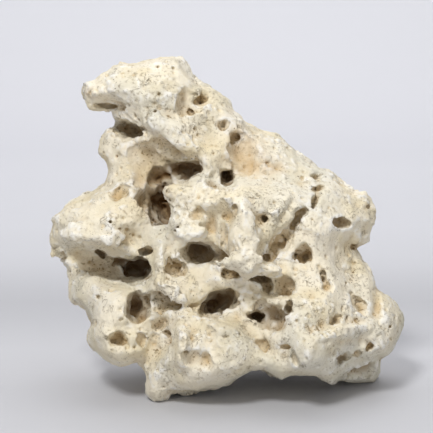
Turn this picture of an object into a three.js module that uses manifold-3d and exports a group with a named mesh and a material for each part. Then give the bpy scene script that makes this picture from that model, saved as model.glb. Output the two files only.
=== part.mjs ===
// A bored and weathered limestone rock for a terrarium: one stone, standing on three small feet.
// Millimetres, Z up, the pitted face toward -Y.
//
// The form is laid out on its face: x to the right, z up the face, y into the stone. Every
// swell, lump and hollow is placed there. The finished form is then leaned back, its rear
// widened a little, and its feet cut level with the ground.
import * as THREE from "three";
import { mergeVertices } from "three/addons/utils/BufferGeometryUtils.js";
import Module from "manifold-3d";

const wasm = await Module();
wasm.setup();

const LEAN = THREE.MathUtils.degToRad(10);
const FLARE_LENGTH = 1050;
const FLARE_X = -5.7;
const FLARE_Z = 114.3;
const CENTRE_X = 1.36;
const CENTRE_Y = 1.01;
const FRONT_EDGE_LOW = 10;
const FRONT_EDGE_HIGH = 32;
const BACK_EDGE = 38;
const LATTICE = 2.6;
const FACE_COUNT = 9000;
const REAR_HOLLOWS = 90;
const STONE_COLOUR = 0xe6dcc3;

// the edge of the stone seen from the front: x, z
const OUTLINE = [
  [-35, 222], [-30, 219], [-23, 211], [-17, 205], [-9, 202], [-2, 197], [3, 192], [7, 185],
  [16, 178], [22, 173], [29, 171], [36, 167], [43, 161], [53, 155], [63, 150], [71, 145],
  [78, 139], [86, 132], [95, 125], [99, 118], [99, 111], [95, 105], [94, 99], [87, 93],
  [91, 88], [97, 80], [101, 74], [103, 67], [110, 63], [115, 57], [119, 49], [119, 42],
  [116, 33], [114, 27], [109, 21], [104, 19], [103, 11], [99, 4], [83, 3], [77, 5],
  [71, 2], [65, 5], [60, 8], [49, 9], [43, 8], [38, 5], [33, 8], [25, 12],
  [17, 11], [9, 6], [1, 3], [-10, 1], [-19, -1], [-30, -2], [-38, -1], [-45, -6],
  [-51, -2], [-52, 6], [-55, 13], [-59, 17], [-65, 15], [-70, 14], [-75, 16], [-82, 21],
  [-87, 27], [-91, 31], [-92, 38], [-90, 43], [-93, 51], [-97, 55], [-103, 57], [-105, 65],
  [-105, 75], [-109, 83], [-115, 88], [-118, 96], [-119, 101], [-117, 108], [-117, 115],
  [-111, 118], [-106, 123], [-97, 127], [-89, 131], [-81, 137], [-79, 143], [-80, 152],
  [-83, 157], [-83, 165], [-82, 171], [-78, 175], [-75, 179], [-76, 183], [-81, 185],
  [-91, 185], [-95, 191], [-97, 197], [-96, 203], [-92, 206], [-87, 207], [-83, 211],
  [-79, 213], [-75, 216], [-63, 218], [-51, 221], [-43, 222],
];

// thickness of the stone: x, z, spread, depth of the face, depth of the edge, depth of the rear
const THICKNESS = [
  [-88, 198, 16, -30, -6, 26], [-60, 195, 24, -44, -8, 30], [-25, 195, 24, -36, -2, 34],
  [5, 172, 20, -30, 4, 38], [-72, 158, 18, -26, 2, 30], [-20, 155, 22, -40, 0, 40],
  [-50, 150, 18, -30, 0, 36], [35, 145, 24, -26, 6, 44], [80, 118, 22, -26, 4, 40],
  [-95, 112, 20, -40, -8, 30], [-112, 95, 14, -14, 2, 30], [-60, 112, 18, -42, 0, 44],
  [-5, 118, 20, -60, 0, 52], [28, 112, 20, -60, 0, 55], [15, 92, 16, -62, 0, 58],
  [60, 95, 20, -42, 0, 56], [-80, 82, 18, -24, 4, 42], [-45, 80, 18, -44, 0, 56],
  [0, 60, 22, -50, 0, 62], [-75, 48, 20, -44, -8, 44], [-62, 24, 16, -46, -32, 36],
  [-46, -4, 9, -42, -30, 16], [-20, 14, 18, -56, -40, 46], [35, 24, 16, -58, -42, 56],
  [70, 55, 22, -62, -4, 54], [98, 40, 18, -40, 10, 50], [60, 12, 12, -60, -44, 44],
  [92, 8, 12, -14, 18, 46], [95, 80, 18, -26, 4, 44], [110, 55, 12, -16, 8, 40],
];

// broad swells of the face and dips between them: name, centre, half size, turn, height
const SWELLS = [
  ["upper left lobe", [-87, 114], [26, 17], 8, 17],
  ["left fold", [-82, 82], [30, 11], -22, -13],
  ["left fold mouth", [-104, 92], [12, 5], -10, -5],
  ["plateau", [8, 127], [40, 9], -3, 12],
  ["slope above the plateau", [6, 146], [40, 9], -8, -7],
  ["neck mass", [-34, 169], [32, 9], -35, 8],
  ["pillar", [13, 99], [9, 22], 0, 15],
  ["pillar foot", [13, 84], [15, 6], 0, 5],
  ["left strand", [1, 102], [4, 18], 22, 5],
  ["middle strand", [12, 112], [4, 18], -2, 3],
  ["right strand", [30, 110], [5, 20], -31, 7],
  ["gully beside the nodule", [-9, 104], [4, 12], 10, -5],
  ["nodule", [-25, 110], [13, 10], -10, 12],
  ["right mass", [66, 104], [19, 30], 10, 7],
  ["right gully", [80, 85], [9, 26], 8, -10],
  ["lower left mass", [-76, 50], [20, 22], 0, 12],
  ["low left knob", [-68, 20], [14, 6], 0, 6],
  ["valley beside the foot", [-47, 28], [7, 20], -12, -8],
  ["left brow", [-38, 66], [17, 7], -10, 8],
  ["lower middle mass", [-12, 26], [28, 18], -5, 14],
  ["rib of the middle mass", [-28, 31], [4.5, 18], -4, 8],
  ["dip over the low pits", [-54, 41.5], [26, 4], 8, -5],
  ["brow over the lens cave", [0, 68], [20, 4], -12, 5],
  ["under the ledge", [26, 67], [24, 9], 0, -7],
  ["ledge", [26, 79.5], [18, 4.5], -6, 5],
  ["lower right mass", [60, 42], [22, 26], 0, 11],
  ["nose", [50, 22], [8, 15], 10, 8],
  ["groove", [22, 36], [5, 20], 50, -7],
  ["head", [-56, 203], [34, 13], -4, 7],
  ["neck", [-72, 166], [16, 8], 10, -7],
  ["shoulder", [-70, 165], [12, 8], 0, 4],
  ["lower lip", [84, 25], [20, 6], 10, 6],
  ["flank groove", [101, 58], [3, 14], 10, -7],
  ["brow of the right mass", [80, 37], [20, 4], 14, 6],
  ["dip under the brow", [82, 27], [18, 3.5], 16, -4],
  ["bulge beside the nose slit", [57, 21], [8, 12], 0, 5],
  ["brow over the fold", [-84, 97], [26, 4], -14, 6],
  ["brow over the ribbed cave", [30, 60], [14, 3], -10, 5],
  ["post", [-46, 78], [4.5, 15], 0, 10],
  ["bar beside the great bowl", [-8, 140], [6, 13], 30, 6],
  ["lip over the lens cave", [-2, 44], [18, 6], -8, 4],
];

// broad hollows of the face: name, centre, half size, depth, turn, sunk
const BOWLS = [
  ["great bowl", [-46, 149], [25, 15], 15, -20, 0],
  ["funnel", [-46.5, 134], [10.5, 16], 17, -18, 2],
  ["main cave", [-43.5, 126], [11.5, 18], 32, 0, 3],
  ["gallery", [-28, 145], [14, 7], 26, 6, 4],
  ["gallery mouth", [-42, 141], [12, 7], 22, 10, 4],
  ["depth of the main cave", [-41, 121], [9, 13], 32, 0, 12],
  ["fold under the upper lobe", [-84, 82], [25, 8], 11, -20, 2],
  ["valley beside the heart cave", [-42, 57], [15, 9], 9, 10, 1],
  ["valley beside the pillar", [-2, 101], [4.5, 13], 8, 14, 0],
];

// lumps that stand over a hollow: name, centre, half size, turn, sunk
const LUMPS = [
  ["plateau nose", [-27, 129], [13, 9, 6], -15, 4],
  ["plateau tongue", [-30, 121], [6, 8, 9], 0, 4],
  ["lobe chin", [-96, 103], [12, 8, 6], -12, 1],
  ["lobe chin right", [-77, 102], [10, 8, 6], -8, 1],
  ["nodule chin", [-22, 104], [12, 8, 5], 0, 2],
  ["plateau edge", [40, 111], [13, 9, 4], 45, 3],
  ["heart brow", [-36, 65], [13, 8, 4], -38, 2],
  ["pillar trunk", [12.5, 101], [7.5, 8, 17], 0, 3],
  ["pillar flare", [12.5, 86], [13, 8, 6], 0, 3],
  ["ledge shelf left", [5, 82], [9, 5, 2.8], -16, 1],
  ["ledge shelf right", [30, 79], [14, 7, 3], -6, 1],
  ["tooth", [-20, 193], [3, 4, 3], 20, 2],
];

// caves, holes, slits and pits of the face: name, centre, half size, depth, turn, sunk
const HOLLOWS = [
  ["eye funnel", [-2, 139], [10, 9], 7, 0, 0],
  ["eye", [1.5, 140.5], [5.6, 6.6], 24, -25, 2],
  ["crown bowl", [-25, 189], [9.5, 9.5], 10, 0, 0],
  ["crown hole", [-16, 191.5], [6.2, 4], 16, 5, 2],
  ["crown dish", [-12, 199], [6, 6], 3, 0, 0],
  ["crown bowl floor", [-22, 184], [3.5, 2.6], 10, 0, 3],
  ["crown pit", [-1, 175], [3.3, 4.2], 8, -25, 0],
  ["ochre bowl", [14, 160], [11, 15.5], 12, 8, 0],
  ["ochre pocket", [7.5, 167], [5, 5], 11, 0, 3],
  ["ochre slit", [14, 144.7], [4, 1.5], 9, 0, 2],
  ["neck gap", [-66, 173], [15, 6.5], 30, -15, 6],
  ["neck notch", [-82, 178], [10, 4], 22, 0, 0],
  ["mouth", [-74, 188], [9, 4.4], 6, -8, 0],
  ["mouth slit", [-79, 188], [8, 2.2], 13, -5, 4],
  ["shoulder pit", [-71, 131], [6.8, 5.6], 7, 0, 0],
  ["slit in the lobe", [-82.5, 89.5], [5, 3], 13, -40, 5],
  ["fold hole", [-69, 84], [9, 4], 13, -12, 8],
  ["square cave", [-59, 80], [11.4, 8.4], 30, 0, 7],
  ["arch hole", [-53, 91], [5.2, 3], 13, 0, 2],
  ["heart cave", [-58.5, 54.7], [8.8, 10.6], 24, 0, 4],
  ["low left pit", [-71, 32], [6.4, 5.4], 11, 0, 1],
  ["low left dish", [-54.7, 31.5], [5, 6.2], 7, 15, 0],
  ["crescent pit", [-38.7, 36.5], [4, 2.8], 8, -15, 1],
  ["crescent dish", [-40, 32], [6, 5], 3, 0, 0],
  ["base bowl", [-19, 18.7], [11, 7.5], 8, -5, 0],
  ["base bowl corner", [-13.3, 17.3], [5.5, 6.5], 9, 0, 0],
  ["half moon pit", [-33, 80], [8, 5.6], 10, 0, 1],
  ["bank cave", [-18.7, 90], [10.5, 8.5], 26, 0, 4],
  ["bank cave corner", [-6, 89], [11, 6], 16, -35, 3],
  ["gap under the pillar", [3.3, 76.3], [7.5, 4.2], 11, -10, 2],
  ["niche under the ledge", [23.3, 72.7], [9, 4], 17, -14, 4],
  ["niche floor", [28.5, 67], [4.2, 3.6], 9, 0, 2],
  ["niche right", [38.5, 67], [7.3, 8], 7, 0, 1],
  ["lens cave", [-4.7, 57.3], [14.4, 8.6], 27, 22, 5],
  ["lens cave nick", [-20, 55.3], [3.7, 1.7], 7, 15, 1],
  ["ribbed cave", [28.7, 48.7], [12.8, 9], 15, -25, 2],
  ["ribbed cave dark", [21.5, 47.5], [6.5, 4], 24, -10, 5],
  ["ribbed cave top", [24, 54], [5, 4.5], 10, 0, 1],
  ["ribbed cave channel", [42, 53], [3.6, 5.8], 12, -20, 2],
  ["low dish", [25.3, 28], [3.7, 5.6], 5, 20, 0],
  ["nose brow", [40.7, 27.3], [4.8, 1.8], 5, 0, 0],
  ["nose slit", [46.5, 19], [2.6, 7], 9, 16, 0],
  ["round cave", [51.7, 88], [7, 6.7], 18, 0, 2],
  ["pocket", [38, 98], [6, 16], 13, -42, 1],
  ["pocket floor", [28.5, 86.5], [5, 2.6], 12, -15, 6],
  ["crack low", [48, 112], [2.8, 8], 12, -40, 2],
  ["crack middle", [51, 117], [5.5, 3], 11, 25, 1],
  ["crack high", [60, 125], [2.6, 8], 12, -20, 1],
  ["crack top", [62, 133], [4.5, 2.2], 8, 20, 0],
  ["rough patch", [61, 141], [4, 2.5], 5, -20, 0],
  ["pillar bore", [26.3, 113], [2.4, 2.6], 11, 0, 1],
  ["pillar dimple", [6.3, 120], [2.4, 2.9], 4, 0, 0],
  ["nodule pit", [-18, 116], [5.4, 4.6], 8, 0, 0],
  ["right niche", [77, 110.5], [7.4, 4.2], 12, -8, 2],
  ["right notch", [85.3, 94], [3.3, 2.2], 8, 30, 1],
  ["slanting crack", [65.3, 74.5], [2.2, 7.5], 9, 28, 0],
  ["slanting crack end", [68.5, 67.5], [4.2, 3.2], 8, 0, 0],
  ["long pit", [89.5, 56.5], [4.8, 8.6], 11, 35, 0],
  ["wedge pit", [74, 45.5], [5.5, 2.8], 8, 22, 2],
  ["right eye", [96, 27.3], [2.8, 3.4], 7, -25, 0],
  ["right eye low", [88, 22.7], [2.9, 2.6], 6, 0, 1],
  ["lip groove", [78, 19.5], [9, 3], 10, 22, 4],
  ["hollow over the right foot", [93, 10], [13, 6.5], 9, 20, 3],
];

// feet that carry the stone: name, centre x y z, half size
const FEET = [
  ["front left foot", [-46, -29, -2], [7, 8, 8]],
  ["right rear foot", [92, 25, 9], [8, 7, 7]],
  ["middle rear foot", [-26, 40, 15], [13, 11, 11]],
];

// hollows of the underside, between the feet: name, centre x y z, half size
const BELLY = [
  ["left belly", [-12, 8, -1], [30, 24, 8]],
  ["right belly", [50, 8, 1], [27, 26, 9]],
  ["back belly", [35, 40, 6], [26, 26, 10]],
];

// values between -1 and 1, one for each point of a lattice
function hash(i, j, k, seed) {
  let h = Math.imul(i, 374761393) + Math.imul(j, 668265263) + Math.imul(k, 1103515245);
  h = (h + Math.imul(seed, 1274126177)) | 0;
  h = Math.imul(h ^ (h >>> 13), 1274126177);
  h ^= h >>> 16;
  return (h & 0xffffff) / 0x800000 - 1;
}

const ease = (t) => t * t * t * (t * (t * 6 - 15) + 10);

// smooth unevenness, -1 to 1, with bumps about one size apart
function noise(x, y, z, size, seed) {
  const i = Math.floor(x / size);
  const j = Math.floor(y / size);
  const k = Math.floor(z / size);
  const u = ease(x / size - i);
  const v = ease(y / size - j);
  const w = ease(z / size - k);
  let sum = 0;
  for (let corner = 0; corner < 8; corner++) {
    const a = corner & 1;
    const b = (corner >> 1) & 1;
    const c = corner >> 2;
    const weight = (a ? u : 1 - u) * (b ? v : 1 - v) * (c ? w : 1 - w);
    sum += weight * hash(i + a, j + b, k + c, seed);
  }
  return sum;
}

// squared distance to the nearest of the points scattered one to a cell: dents with sharp rims
function scallop(x, y, z, size, seed) {
  const i = Math.floor(x / size);
  const j = Math.floor(y / size);
  const k = Math.floor(z / size);
  let best = 0.8;
  for (let n = 0; n < 27; n++) {
    const a = i + (n % 3) - 1;
    const b = j + (Math.floor(n / 3) % 3) - 1;
    const c = k + Math.floor(n / 9) - 1;
    const dx = x / size - a - 0.5 - 0.45 * hash(a, b, c, seed);
    const dy = y / size - b - 0.5 - 0.45 * hash(a, b, c, seed + 1);
    const dz = z / size - c - 0.5 - 0.45 * hash(a, b, c, seed + 2);
    best = Math.min(best, dx * dx + dy * dy + dz * dz);
  }
  return best;
}

// distance to the outline, positive inside it
function outlineDistance(x, z) {
  let best = Infinity;
  let inside = false;
  for (let n = 0; n < OUTLINE.length; n++) {
    const [ax, az] = OUTLINE[n];
    const [bx, bz] = OUTLINE[(n + 1) % OUTLINE.length];
    const ex = bx - ax;
    const ez = bz - az;
    let t = ((x - ax) * ex + (z - az) * ez) / (ex * ex + ez * ez);
    t = Math.min(1, Math.max(0, t));
    best = Math.min(best, Math.hypot(x - ax - t * ex, z - az - t * ez));
    if (az > z !== bz > z && x < ax + ((z - az) / ez) * ex) {
      inside = !inside;
    }
  }
  return inside ? best : -best;
}

// offset from a centre, turned by an angle in degrees
function turned(dx, dz, degrees) {
  const t = THREE.MathUtils.degToRad(degrees);
  return [dx * Math.cos(t) + dz * Math.sin(t), dz * Math.cos(t) - dx * Math.sin(t)];
}

function swellHeight(x, z) {
  const wx = x + 3.4 * noise(x, 0, z, 15, 8);
  const wz = z + 3.4 * noise(x, 50, z, 15, 8);
  let total = 0;
  for (const [, [cx, cz], [a, c], turn, height] of SWELLS) {
    const [u, v] = turned(wx - cx, wz - cz, turn);
    const r = (u / a) ** 2 + (v / c) ** 2;
    total += height * Math.exp(-0.7 * r * r);
  }
  return total;
}

// what the stone is like at one place of the face: face, edge and rear depths, nearness of the edge
function columnAt(x, z) {
  const sums = [0, 0, 0];
  let weights = 0;
  for (const [ax, az, spread, ...depths] of THICKNESS) {
    const weight = Math.exp(-((x - ax) ** 2 + (z - az) ** 2) / (2 * spread * spread)) + 1e-9;
    weights += weight;
    depths.forEach((depth, n) => (sums[n] += weight * depth));
  }
  const [face, edge, rear] = sums.map((sum) => sum / weights);
  const inside = outlineDistance(x, z);
  const t = Math.min(1, Math.max(0, (z - 20) / 70));
  const frontEdge = FRONT_EDGE_LOW + (FRONT_EDGE_HIGH - FRONT_EDGE_LOW) * t * t * (3 - 2 * t);
  return {
    face: Math.min(face - swellHeight(x, z), edge - 6),
    edge,
    rear,
    frontNear: 1 - Math.min(inside / frontEdge, 1),
    backNear: 1 - Math.min(inside / BACK_EDGE, 1),
  };
}

// depth of the face where the stone has no bumps or hollows
function faceDepth(x, z) {
  const column = columnAt(x, z);
  const rest = Math.sqrt(Math.max(0, 1 - Math.min(1, column.frontNear) ** 2));
  return column.edge + (column.face - column.edge) * rest;
}

// the smooth body, negative inside the stone
function body(column, y) {
  const out = y - column.edge;
  const faceReach = column.edge - column.face;
  const rearReach = column.rear - column.edge;
  const t = ease(Math.min(1, Math.max(0, out / 20 + 0.5)));
  const near = column.frontNear + (column.backNear - column.frontNear) * t;
  const scale = Math.min(faceReach + (rearReach - faceReach) * t, 40);
  const g = out / (out < 0 ? faceReach : rearReach);
  return (Math.sqrt(g * g + near * near) - 1) * scale;
}

// unevenness of the whole skin, with broad knobs on the rear
function roughness(x, y, z, edge) {
  const wx = x + 4 * noise(x, y, z, 16, 5);
  const wz = z + 4 * noise(x, y, z, 16, 6);
  const rear = ease(Math.min(1, Math.max(0, (y - edge - 4) / 24)));
  return 1.8 * noise(x, y, z, 24, 1) + noise(x, y, z, 9, 2) + 7 * rear * noise(x, y, z, 34, 7)
    - 4.2 * (scallop(wx, y, wz, 26, 21) - 0.35) - 3.6 * (scallop(wx, y, wz, 14, 31) - 0.35)
    - 1.3 * (scallop(wx, y, wz, 7, 51) - 0.35)
    - 4 * rear * (scallop(wx, y, wz, 42, 41) - 0.35);
}

// values on a lattice that covers the stone
function makeLattice(step) {
  const low = [-128, -84, -16];
  const size = [256, 168, 250].map((length) => Math.ceil(length / step));
  return { step, low, size, values: new Float32Array(size[0] * size[1] * size[2]) };
}

// runs over the lattice points of a box and changes each value
function sweep(lattice, from, to, change) {
  const { step, low, size, values } = lattice;
  const first = from.map((v, n) => Math.max(0, Math.ceil((v - low[n]) / step)));
  const last = to.map((v, n) => Math.min(size[n] - 1, Math.floor((v - low[n]) / step)));
  for (let i = first[0]; i <= last[0]; i++) {
    for (let k = first[2]; k <= last[2]; k++) {
      for (let j = first[1]; j <= last[1]; j++) {
        const at = (i * size[2] + k) * size[1] + j;
        values[at] = change(values[at], low[0] + i * step, low[1] + j * step, low[2] + k * step);
      }
    }
  }
}

const smoothMax = (a, b, k) => Math.max(a, b) + (Math.max(k - Math.abs(a - b), 0) ** 2) / (4 * k);
const smoothMin = (a, b, k) => -smoothMax(-a, -b, k);

// the body with its rough skin
function fillBody(lattice) {
  const { step, low, size, values } = lattice;
  for (let i = 0; i < size[0]; i++) {
    for (let k = 0; k < size[2]; k++) {
      const x = low[0] + i * step;
      const z = low[2] + k * step;
      const column = columnAt(x, z);
      for (let j = 0; j < size[1]; j++) {
        const y = low[1] + j * step;
        const plain = body(column, y);
        const rough = Math.abs(plain) < 16 ? roughness(x, y, z, column.edge) : 0;
        values[(i * size[2] + k) * size[1] + j] = plain + rough;
      }
    }
  }
}

// a hollow or lump of the face, as a field: negative inside its wobbly ellipsoid
function faceShape(centre, half, turn, wobble, open) {
  const [cx, cy, cz] = centre;
  const [a, b, c] = half;
  const size = Math.max(3, Math.min(a, c) * 1.3);
  return (x, y, z) => {
    const wx = x + wobble * (noise(x, y, z, size, 11) + 0.5 * noise(x, y, z, size * 0.4, 13));
    const wz = z + wobble * (noise(x, y, z, size, 12) + 0.5 * noise(x, y, z, size * 0.4, 14));
    const [u, v] = turned(wx - cx, wz - cz, turn);
    const w = open && y < cy ? ((y - cy) * 0.35) / Math.min(a, c) : (y - cy) / b;
    return (Math.sqrt((u / a) ** 2 + (v / c) ** 2 + w * w) - 1) * Math.min(a, b, c);
  };
}

// the worn sill below a deep hole: its lower edge slopes out to the face
function wearSill(lattice, [, [x, z], [a, c], depth]) {
  const size = Math.min(a, c);
  if (size < 4.5 || depth < 12) return;
  const low = z - 0.45 * c;
  const y = faceDepth(x, low) + 1;
  const reach = Math.max(a, c) + 6;
  const shape = faceShape([x, y, low], [0.9 * a, 0.5 * size, 0.8 * c], 0, 0.2 * size, true);
  sweep(lattice, [x - reach, y - depth - 12, low - reach], [x + reach, y + depth + 6, low + reach],
    (value, px, py, pz) => smoothMax(value, -shape(px, py, pz), 3));
}

function carve(lattice, [, [x, z], [a, c], depth, turn, sunk]) {
  const y = faceDepth(x, z) + sunk;
  const reach = Math.max(a, c) + 5;
  const shape = faceShape([x, y, z], [a, depth, c], turn, 0.32 * Math.min(a, c), true);
  sweep(lattice, [x - reach, y - depth - 12, z - reach], [x + reach, y + depth + 6, z + reach],
    (value, px, py, pz) => smoothMax(value, -shape(px, py, pz), 1.6));
}

function pile(lattice, [, [x, z], [a, b, c], turn, sunk]) {
  const y = faceDepth(x, z) + sunk;
  const reach = Math.max(a, c) + 8;
  const shape = faceShape([x, y, z], [a, b, c], turn, Math.min(3.2, 0.5 * c), false);
  sweep(lattice, [x - reach, y - b - 8, z - reach], [x + reach, y + b + 8, z + reach],
    (value, px, py, pz) => smoothMin(value, shape(px, py, pz), 4));
}

function addFoot(lattice, [, [x, y, z], [a, b, c]]) {
  const shape = faceShape([x, y, z], [a, b, c], 0, 2, false);
  sweep(lattice, [x - a - 8, y - b - 8, z - c - 8], [x + a + 8, y + b + 8, z + c + 8],
    (value, px, py, pz) => smoothMin(value, shape(px, py, pz), 8));
}

function raise(lattice, [, [x, y, z], [a, b, c]]) {
  const shape = faceShape([x, y, z], [a, b, c], 0, 3, false);
  sweep(lattice, [x - a - 8, y - b - 8, z - c - 8], [x + a + 8, y + b + 8, z + c + 8],
    (value, px, py, pz) => smoothMax(value, -shape(px, py, pz), 6));
}

// first place where a line into the stone meets the smooth body
function meet(start, direction) {
  for (let t = 0; t < 320; t += 1.5) {
    const [x, y, z] = start.map((v, n) => v + direction[n] * t);
    if (body(columnAt(x, z), y) < 0) {
      return [x, y, z];
    }
  }
  return null;
}

// round holes all over the rear and flanks, placed by rule from a fixed seed
function rearHollows() {
  const rows = [];
  let seed = 40213;
  const draw = () => (seed = (seed * 16807) % 2147483647) / 2147483647;
  for (let n = 0; n < REAR_HOLLOWS; n++) {
    const bearing = Math.PI * (0.04 + 0.92 * draw());
    const rise = -0.15 + 1.3 * draw() ** 1.5;
    const target = [-50 + 110 * draw(), 8 + 10 * draw(), 40 + 130 * draw()];
    const half = 2 + 9 * draw() ** 2;
    const depth = half * (0.8 + 2 * draw());
    const stretch = 0.6 + 0.4 * draw();
    const away = [Math.cos(bearing) * Math.cos(rise), Math.sin(bearing) * Math.cos(rise),
      Math.sin(rise)];
    const start = target.map((v, m) => v + 250 * away[m]);
    const centre = meet(start, away.map((v) => -v));
    if (centre && centre[1] > 10 + half && centre[2] > 16) {
      rows.push([centre, away, half, depth, stretch]);
    }
  }
  return rows;
}

function carveRear(lattice, [centre, away, half, depth, stretch]) {
  const reach = Math.max(half, depth) + 6;
  const size = Math.max(3, half * 1.3);
  sweep(lattice, centre.map((v) => v - reach), centre.map((v) => v + reach),
    (value, x, y, z) => {
      const dx = x - centre[0] + 0.3 * half * noise(x, y, z, size, 11);
      const dy = y - centre[1] + 0.3 * half * noise(x, y, z, size, 12);
      const dz = (z - centre[2]) / stretch;
      const along = dx * away[0] + dy * away[1] + dz * away[2];
      const across = Math.max(0, dx * dx + dy * dy + dz * dz - along * along);
      const k = Math.sqrt(across / (half * half) + (along / depth) ** 2);
      return smoothMax(value, (1 - k) * Math.min(half, depth), 1.6);
    });
}

function stoneLattice(step) {
  const lattice = makeLattice(step);
  fillBody(lattice);
  BOWLS.forEach((row) => carve(lattice, row));
  LUMPS.forEach((row) => pile(lattice, row));
  rearHollows().forEach((row) => carveRear(lattice, row));
  HOLLOWS.forEach((row) => wearSill(lattice, row));
  HOLLOWS.forEach((row) => carve(lattice, row));
  BELLY.forEach((row) => raise(lattice, row));
  FEET.forEach((row) => addFoot(lattice, row));
  return lattice;
}

// surface of the lattice: each small cube is six tetrahedra round its long diagonal
const TETRAHEDRA = [[0, 1, 3, 7], [0, 1, 5, 7], [0, 2, 3, 7], [0, 2, 6, 7], [0, 4, 5, 7], [0, 4, 6, 7]];

function surfaceOf(lattice) {
  const { step, low, size, values } = lattice;
  const stride = [size[1] * size[2], 1, size[1]];
  const found = new Map();
  const points = [];
  const faces = [];
  const spot = (i, j, k, corner) =>
    [i + (corner & 1), j + ((corner >> 1) & 1), k + (corner >> 2)];
  const indexOf = (p) => p[0] * stride[0] + p[1] * stride[1] + p[2] * stride[2];

  // the point where the surface crosses the line between two lattice points
  function crossing(p, q) {
    const a = indexOf(p);
    const b = indexOf(q);
    const key = a < b ? a * values.length + b : b * values.length + a;
    if (!found.has(key)) {
      const t = Math.min(0.95, Math.max(0.05, values[a] / (values[a] - values[b])));
      found.set(key, points.length);
      points.push([0, 1, 2].map((n) => low[n] + step * (p[n] + t * (q[n] - p[n]))));
    }
    return found.get(key);
  }

  // a triangle whose face points from the inner to the outer lattice points
  function addFace(a, b, c, inner, outer) {
    const [p, q, r] = [points[a], points[b], points[c]];
    const u = q.map((v, n) => v - p[n]);
    const v = r.map((w, n) => w - p[n]);
    const normal = [u[1] * v[2] - u[2] * v[1], u[2] * v[0] - u[0] * v[2], u[0] * v[1] - u[1] * v[0]];
    const outward = [0, 1, 2].map((n) =>
      outer.reduce((s, o) => s + o[n], 0) / outer.length -
      inner.reduce((s, o) => s + o[n], 0) / inner.length);
    const facing = normal[0] * outward[0] + normal[1] * outward[1] + normal[2] * outward[2];
    faces.push(facing > 0 ? [a, b, c] : [a, c, b]);
  }

  function split(corners) {
    const inner = corners.filter((p) => values[indexOf(p)] < 0);
    const outer = corners.filter((p) => values[indexOf(p)] >= 0);
    if (inner.length === 1 || inner.length === 3) {
      const [lone, rest] = inner.length === 1 ? [inner[0], outer] : [outer[0], inner];
      const [a, b, c] = rest.map((p) => crossing(lone, p));
      addFace(a, b, c, inner, outer);
    } else if (inner.length === 2) {
      const [p, q] = inner;
      const [r, s] = outer;
      const ring = [crossing(p, r), crossing(p, s), crossing(q, s), crossing(q, r)];
      addFace(ring[0], ring[1], ring[2], inner, outer);
      addFace(ring[0], ring[2], ring[3], inner, outer);
    }
  }

  for (let i = 0; i < size[0] - 1; i++) {
    for (let k = 0; k < size[2] - 1; k++) {
      for (let j = 0; j < size[1] - 1; j++) {
        const inside = [0, 1, 2, 3, 4, 5, 6, 7].map((c) => values[indexOf(spot(i, j, k, c))] < 0);
        if (inside.includes(true) && inside.includes(false)) {
          TETRAHEDRA.forEach((corners) => split(corners.map((c) => spot(i, j, k, c))));
        }
      }
    }
  }
  return { points, faces };
}

// the layout's place on the ground: flared toward the rear and leaned back
function stand([x, y, z]) {
  const flare = 1 + y / FLARE_LENGTH;
  const wide = FLARE_X + (x - FLARE_X) * flare;
  const tall = FLARE_Z + (z - FLARE_Z) * flare;
  return [
    wide - CENTRE_X,
    y * Math.cos(LEAN) + tall * Math.sin(LEAN) - CENTRE_Y,
    tall * Math.cos(LEAN) - y * Math.sin(LEAN),
  ];
}

// the largest closed skin of a mesh, without specks or sealed bubbles
function largestSkin({ points, faces }) {
  const leader = points.map((_, n) => n);
  const find = (n) => {
    while (leader[n] !== n) {
      leader[n] = leader[leader[n]];
      n = leader[n];
    }
    return n;
  };
  for (const [a, b, c] of faces) {
    leader[find(b)] = find(a);
    leader[find(c)] = find(a);
  }
  const counts = new Map();
  faces.forEach(([a]) => counts.set(find(a), (counts.get(find(a)) ?? 0) + 1));
  const main = [...counts].sort((p, q) => q[1] - p[1])[0][0];
  return { points, faces: faces.filter(([a]) => find(a) === main) };
}

// a solid for cutting and joining
function solidOf({ points, faces }) {
  const mesh = new wasm.Mesh({
    numProp: 3,
    vertProperties: Float32Array.from(points.flat()),
    triVerts: Uint32Array.from(faces.flat()),
  });
  return new wasm.Manifold(mesh);
}

// the points and faces of a solid
function meshOf(solid) {
  const { vertProperties, triVerts } = solid.getMesh();
  const points = [];
  for (let n = 0; n < vertProperties.length; n += 3) {
    points.push([...vertProperties.subarray(n, n + 3)]);
  }
  const faces = [];
  for (let n = 0; n < triVerts.length; n += 3) {
    faces.push([...triVerts.subarray(n, n + 3)]);
  }
  return { points, faces };
}

// everything below the ground, to level the feet
function belowGround() {
  const box = new THREE.BoxGeometry(400, 400, 60);
  box.translate(0, 0, -30);
  box.deleteAttribute("normal");
  box.deleteAttribute("uv");
  const merged = mergeVertices(box);
  const spots = merged.attributes.position.array;
  const points = [];
  for (let n = 0; n < spots.length; n += 3) {
    points.push([spots[n], spots[n + 1], spots[n + 2]]);
  }
  const faces = [];
  for (let n = 0; n < merged.index.count; n += 3) {
    faces.push([merged.index.getX(n), merged.index.getX(n + 1), merged.index.getX(n + 2)]);
  }
  return solidOf({ points, faces });
}

const minus = (p, q) => [p[0] - q[0], p[1] - q[1], p[2] - q[2]];
const dot = (p, q) => p[0] * q[0] + p[1] * q[1] + p[2] * q[2];
const cross = (p, q) =>
  [p[1] * q[2] - p[2] * q[1], p[2] * q[0] - p[0] * q[2], p[0] * q[1] - p[1] * q[0]];

// squared distance to a plane, as the ten numbers of a symmetric form
function planeForm(p, q, r) {
  const n = cross(minus(q, p), minus(r, p));
  const length = Math.sqrt(dot(n, n)) || 1;
  const [a, b, c] = n.map((v) => v / length);
  const d = -dot([a, b, c], p);
  return [a * a, a * b, a * c, a * d, b * b, b * c, b * d, c * c, c * d, d * d]
    .map((v) => (v * length) / 2);
}

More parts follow.
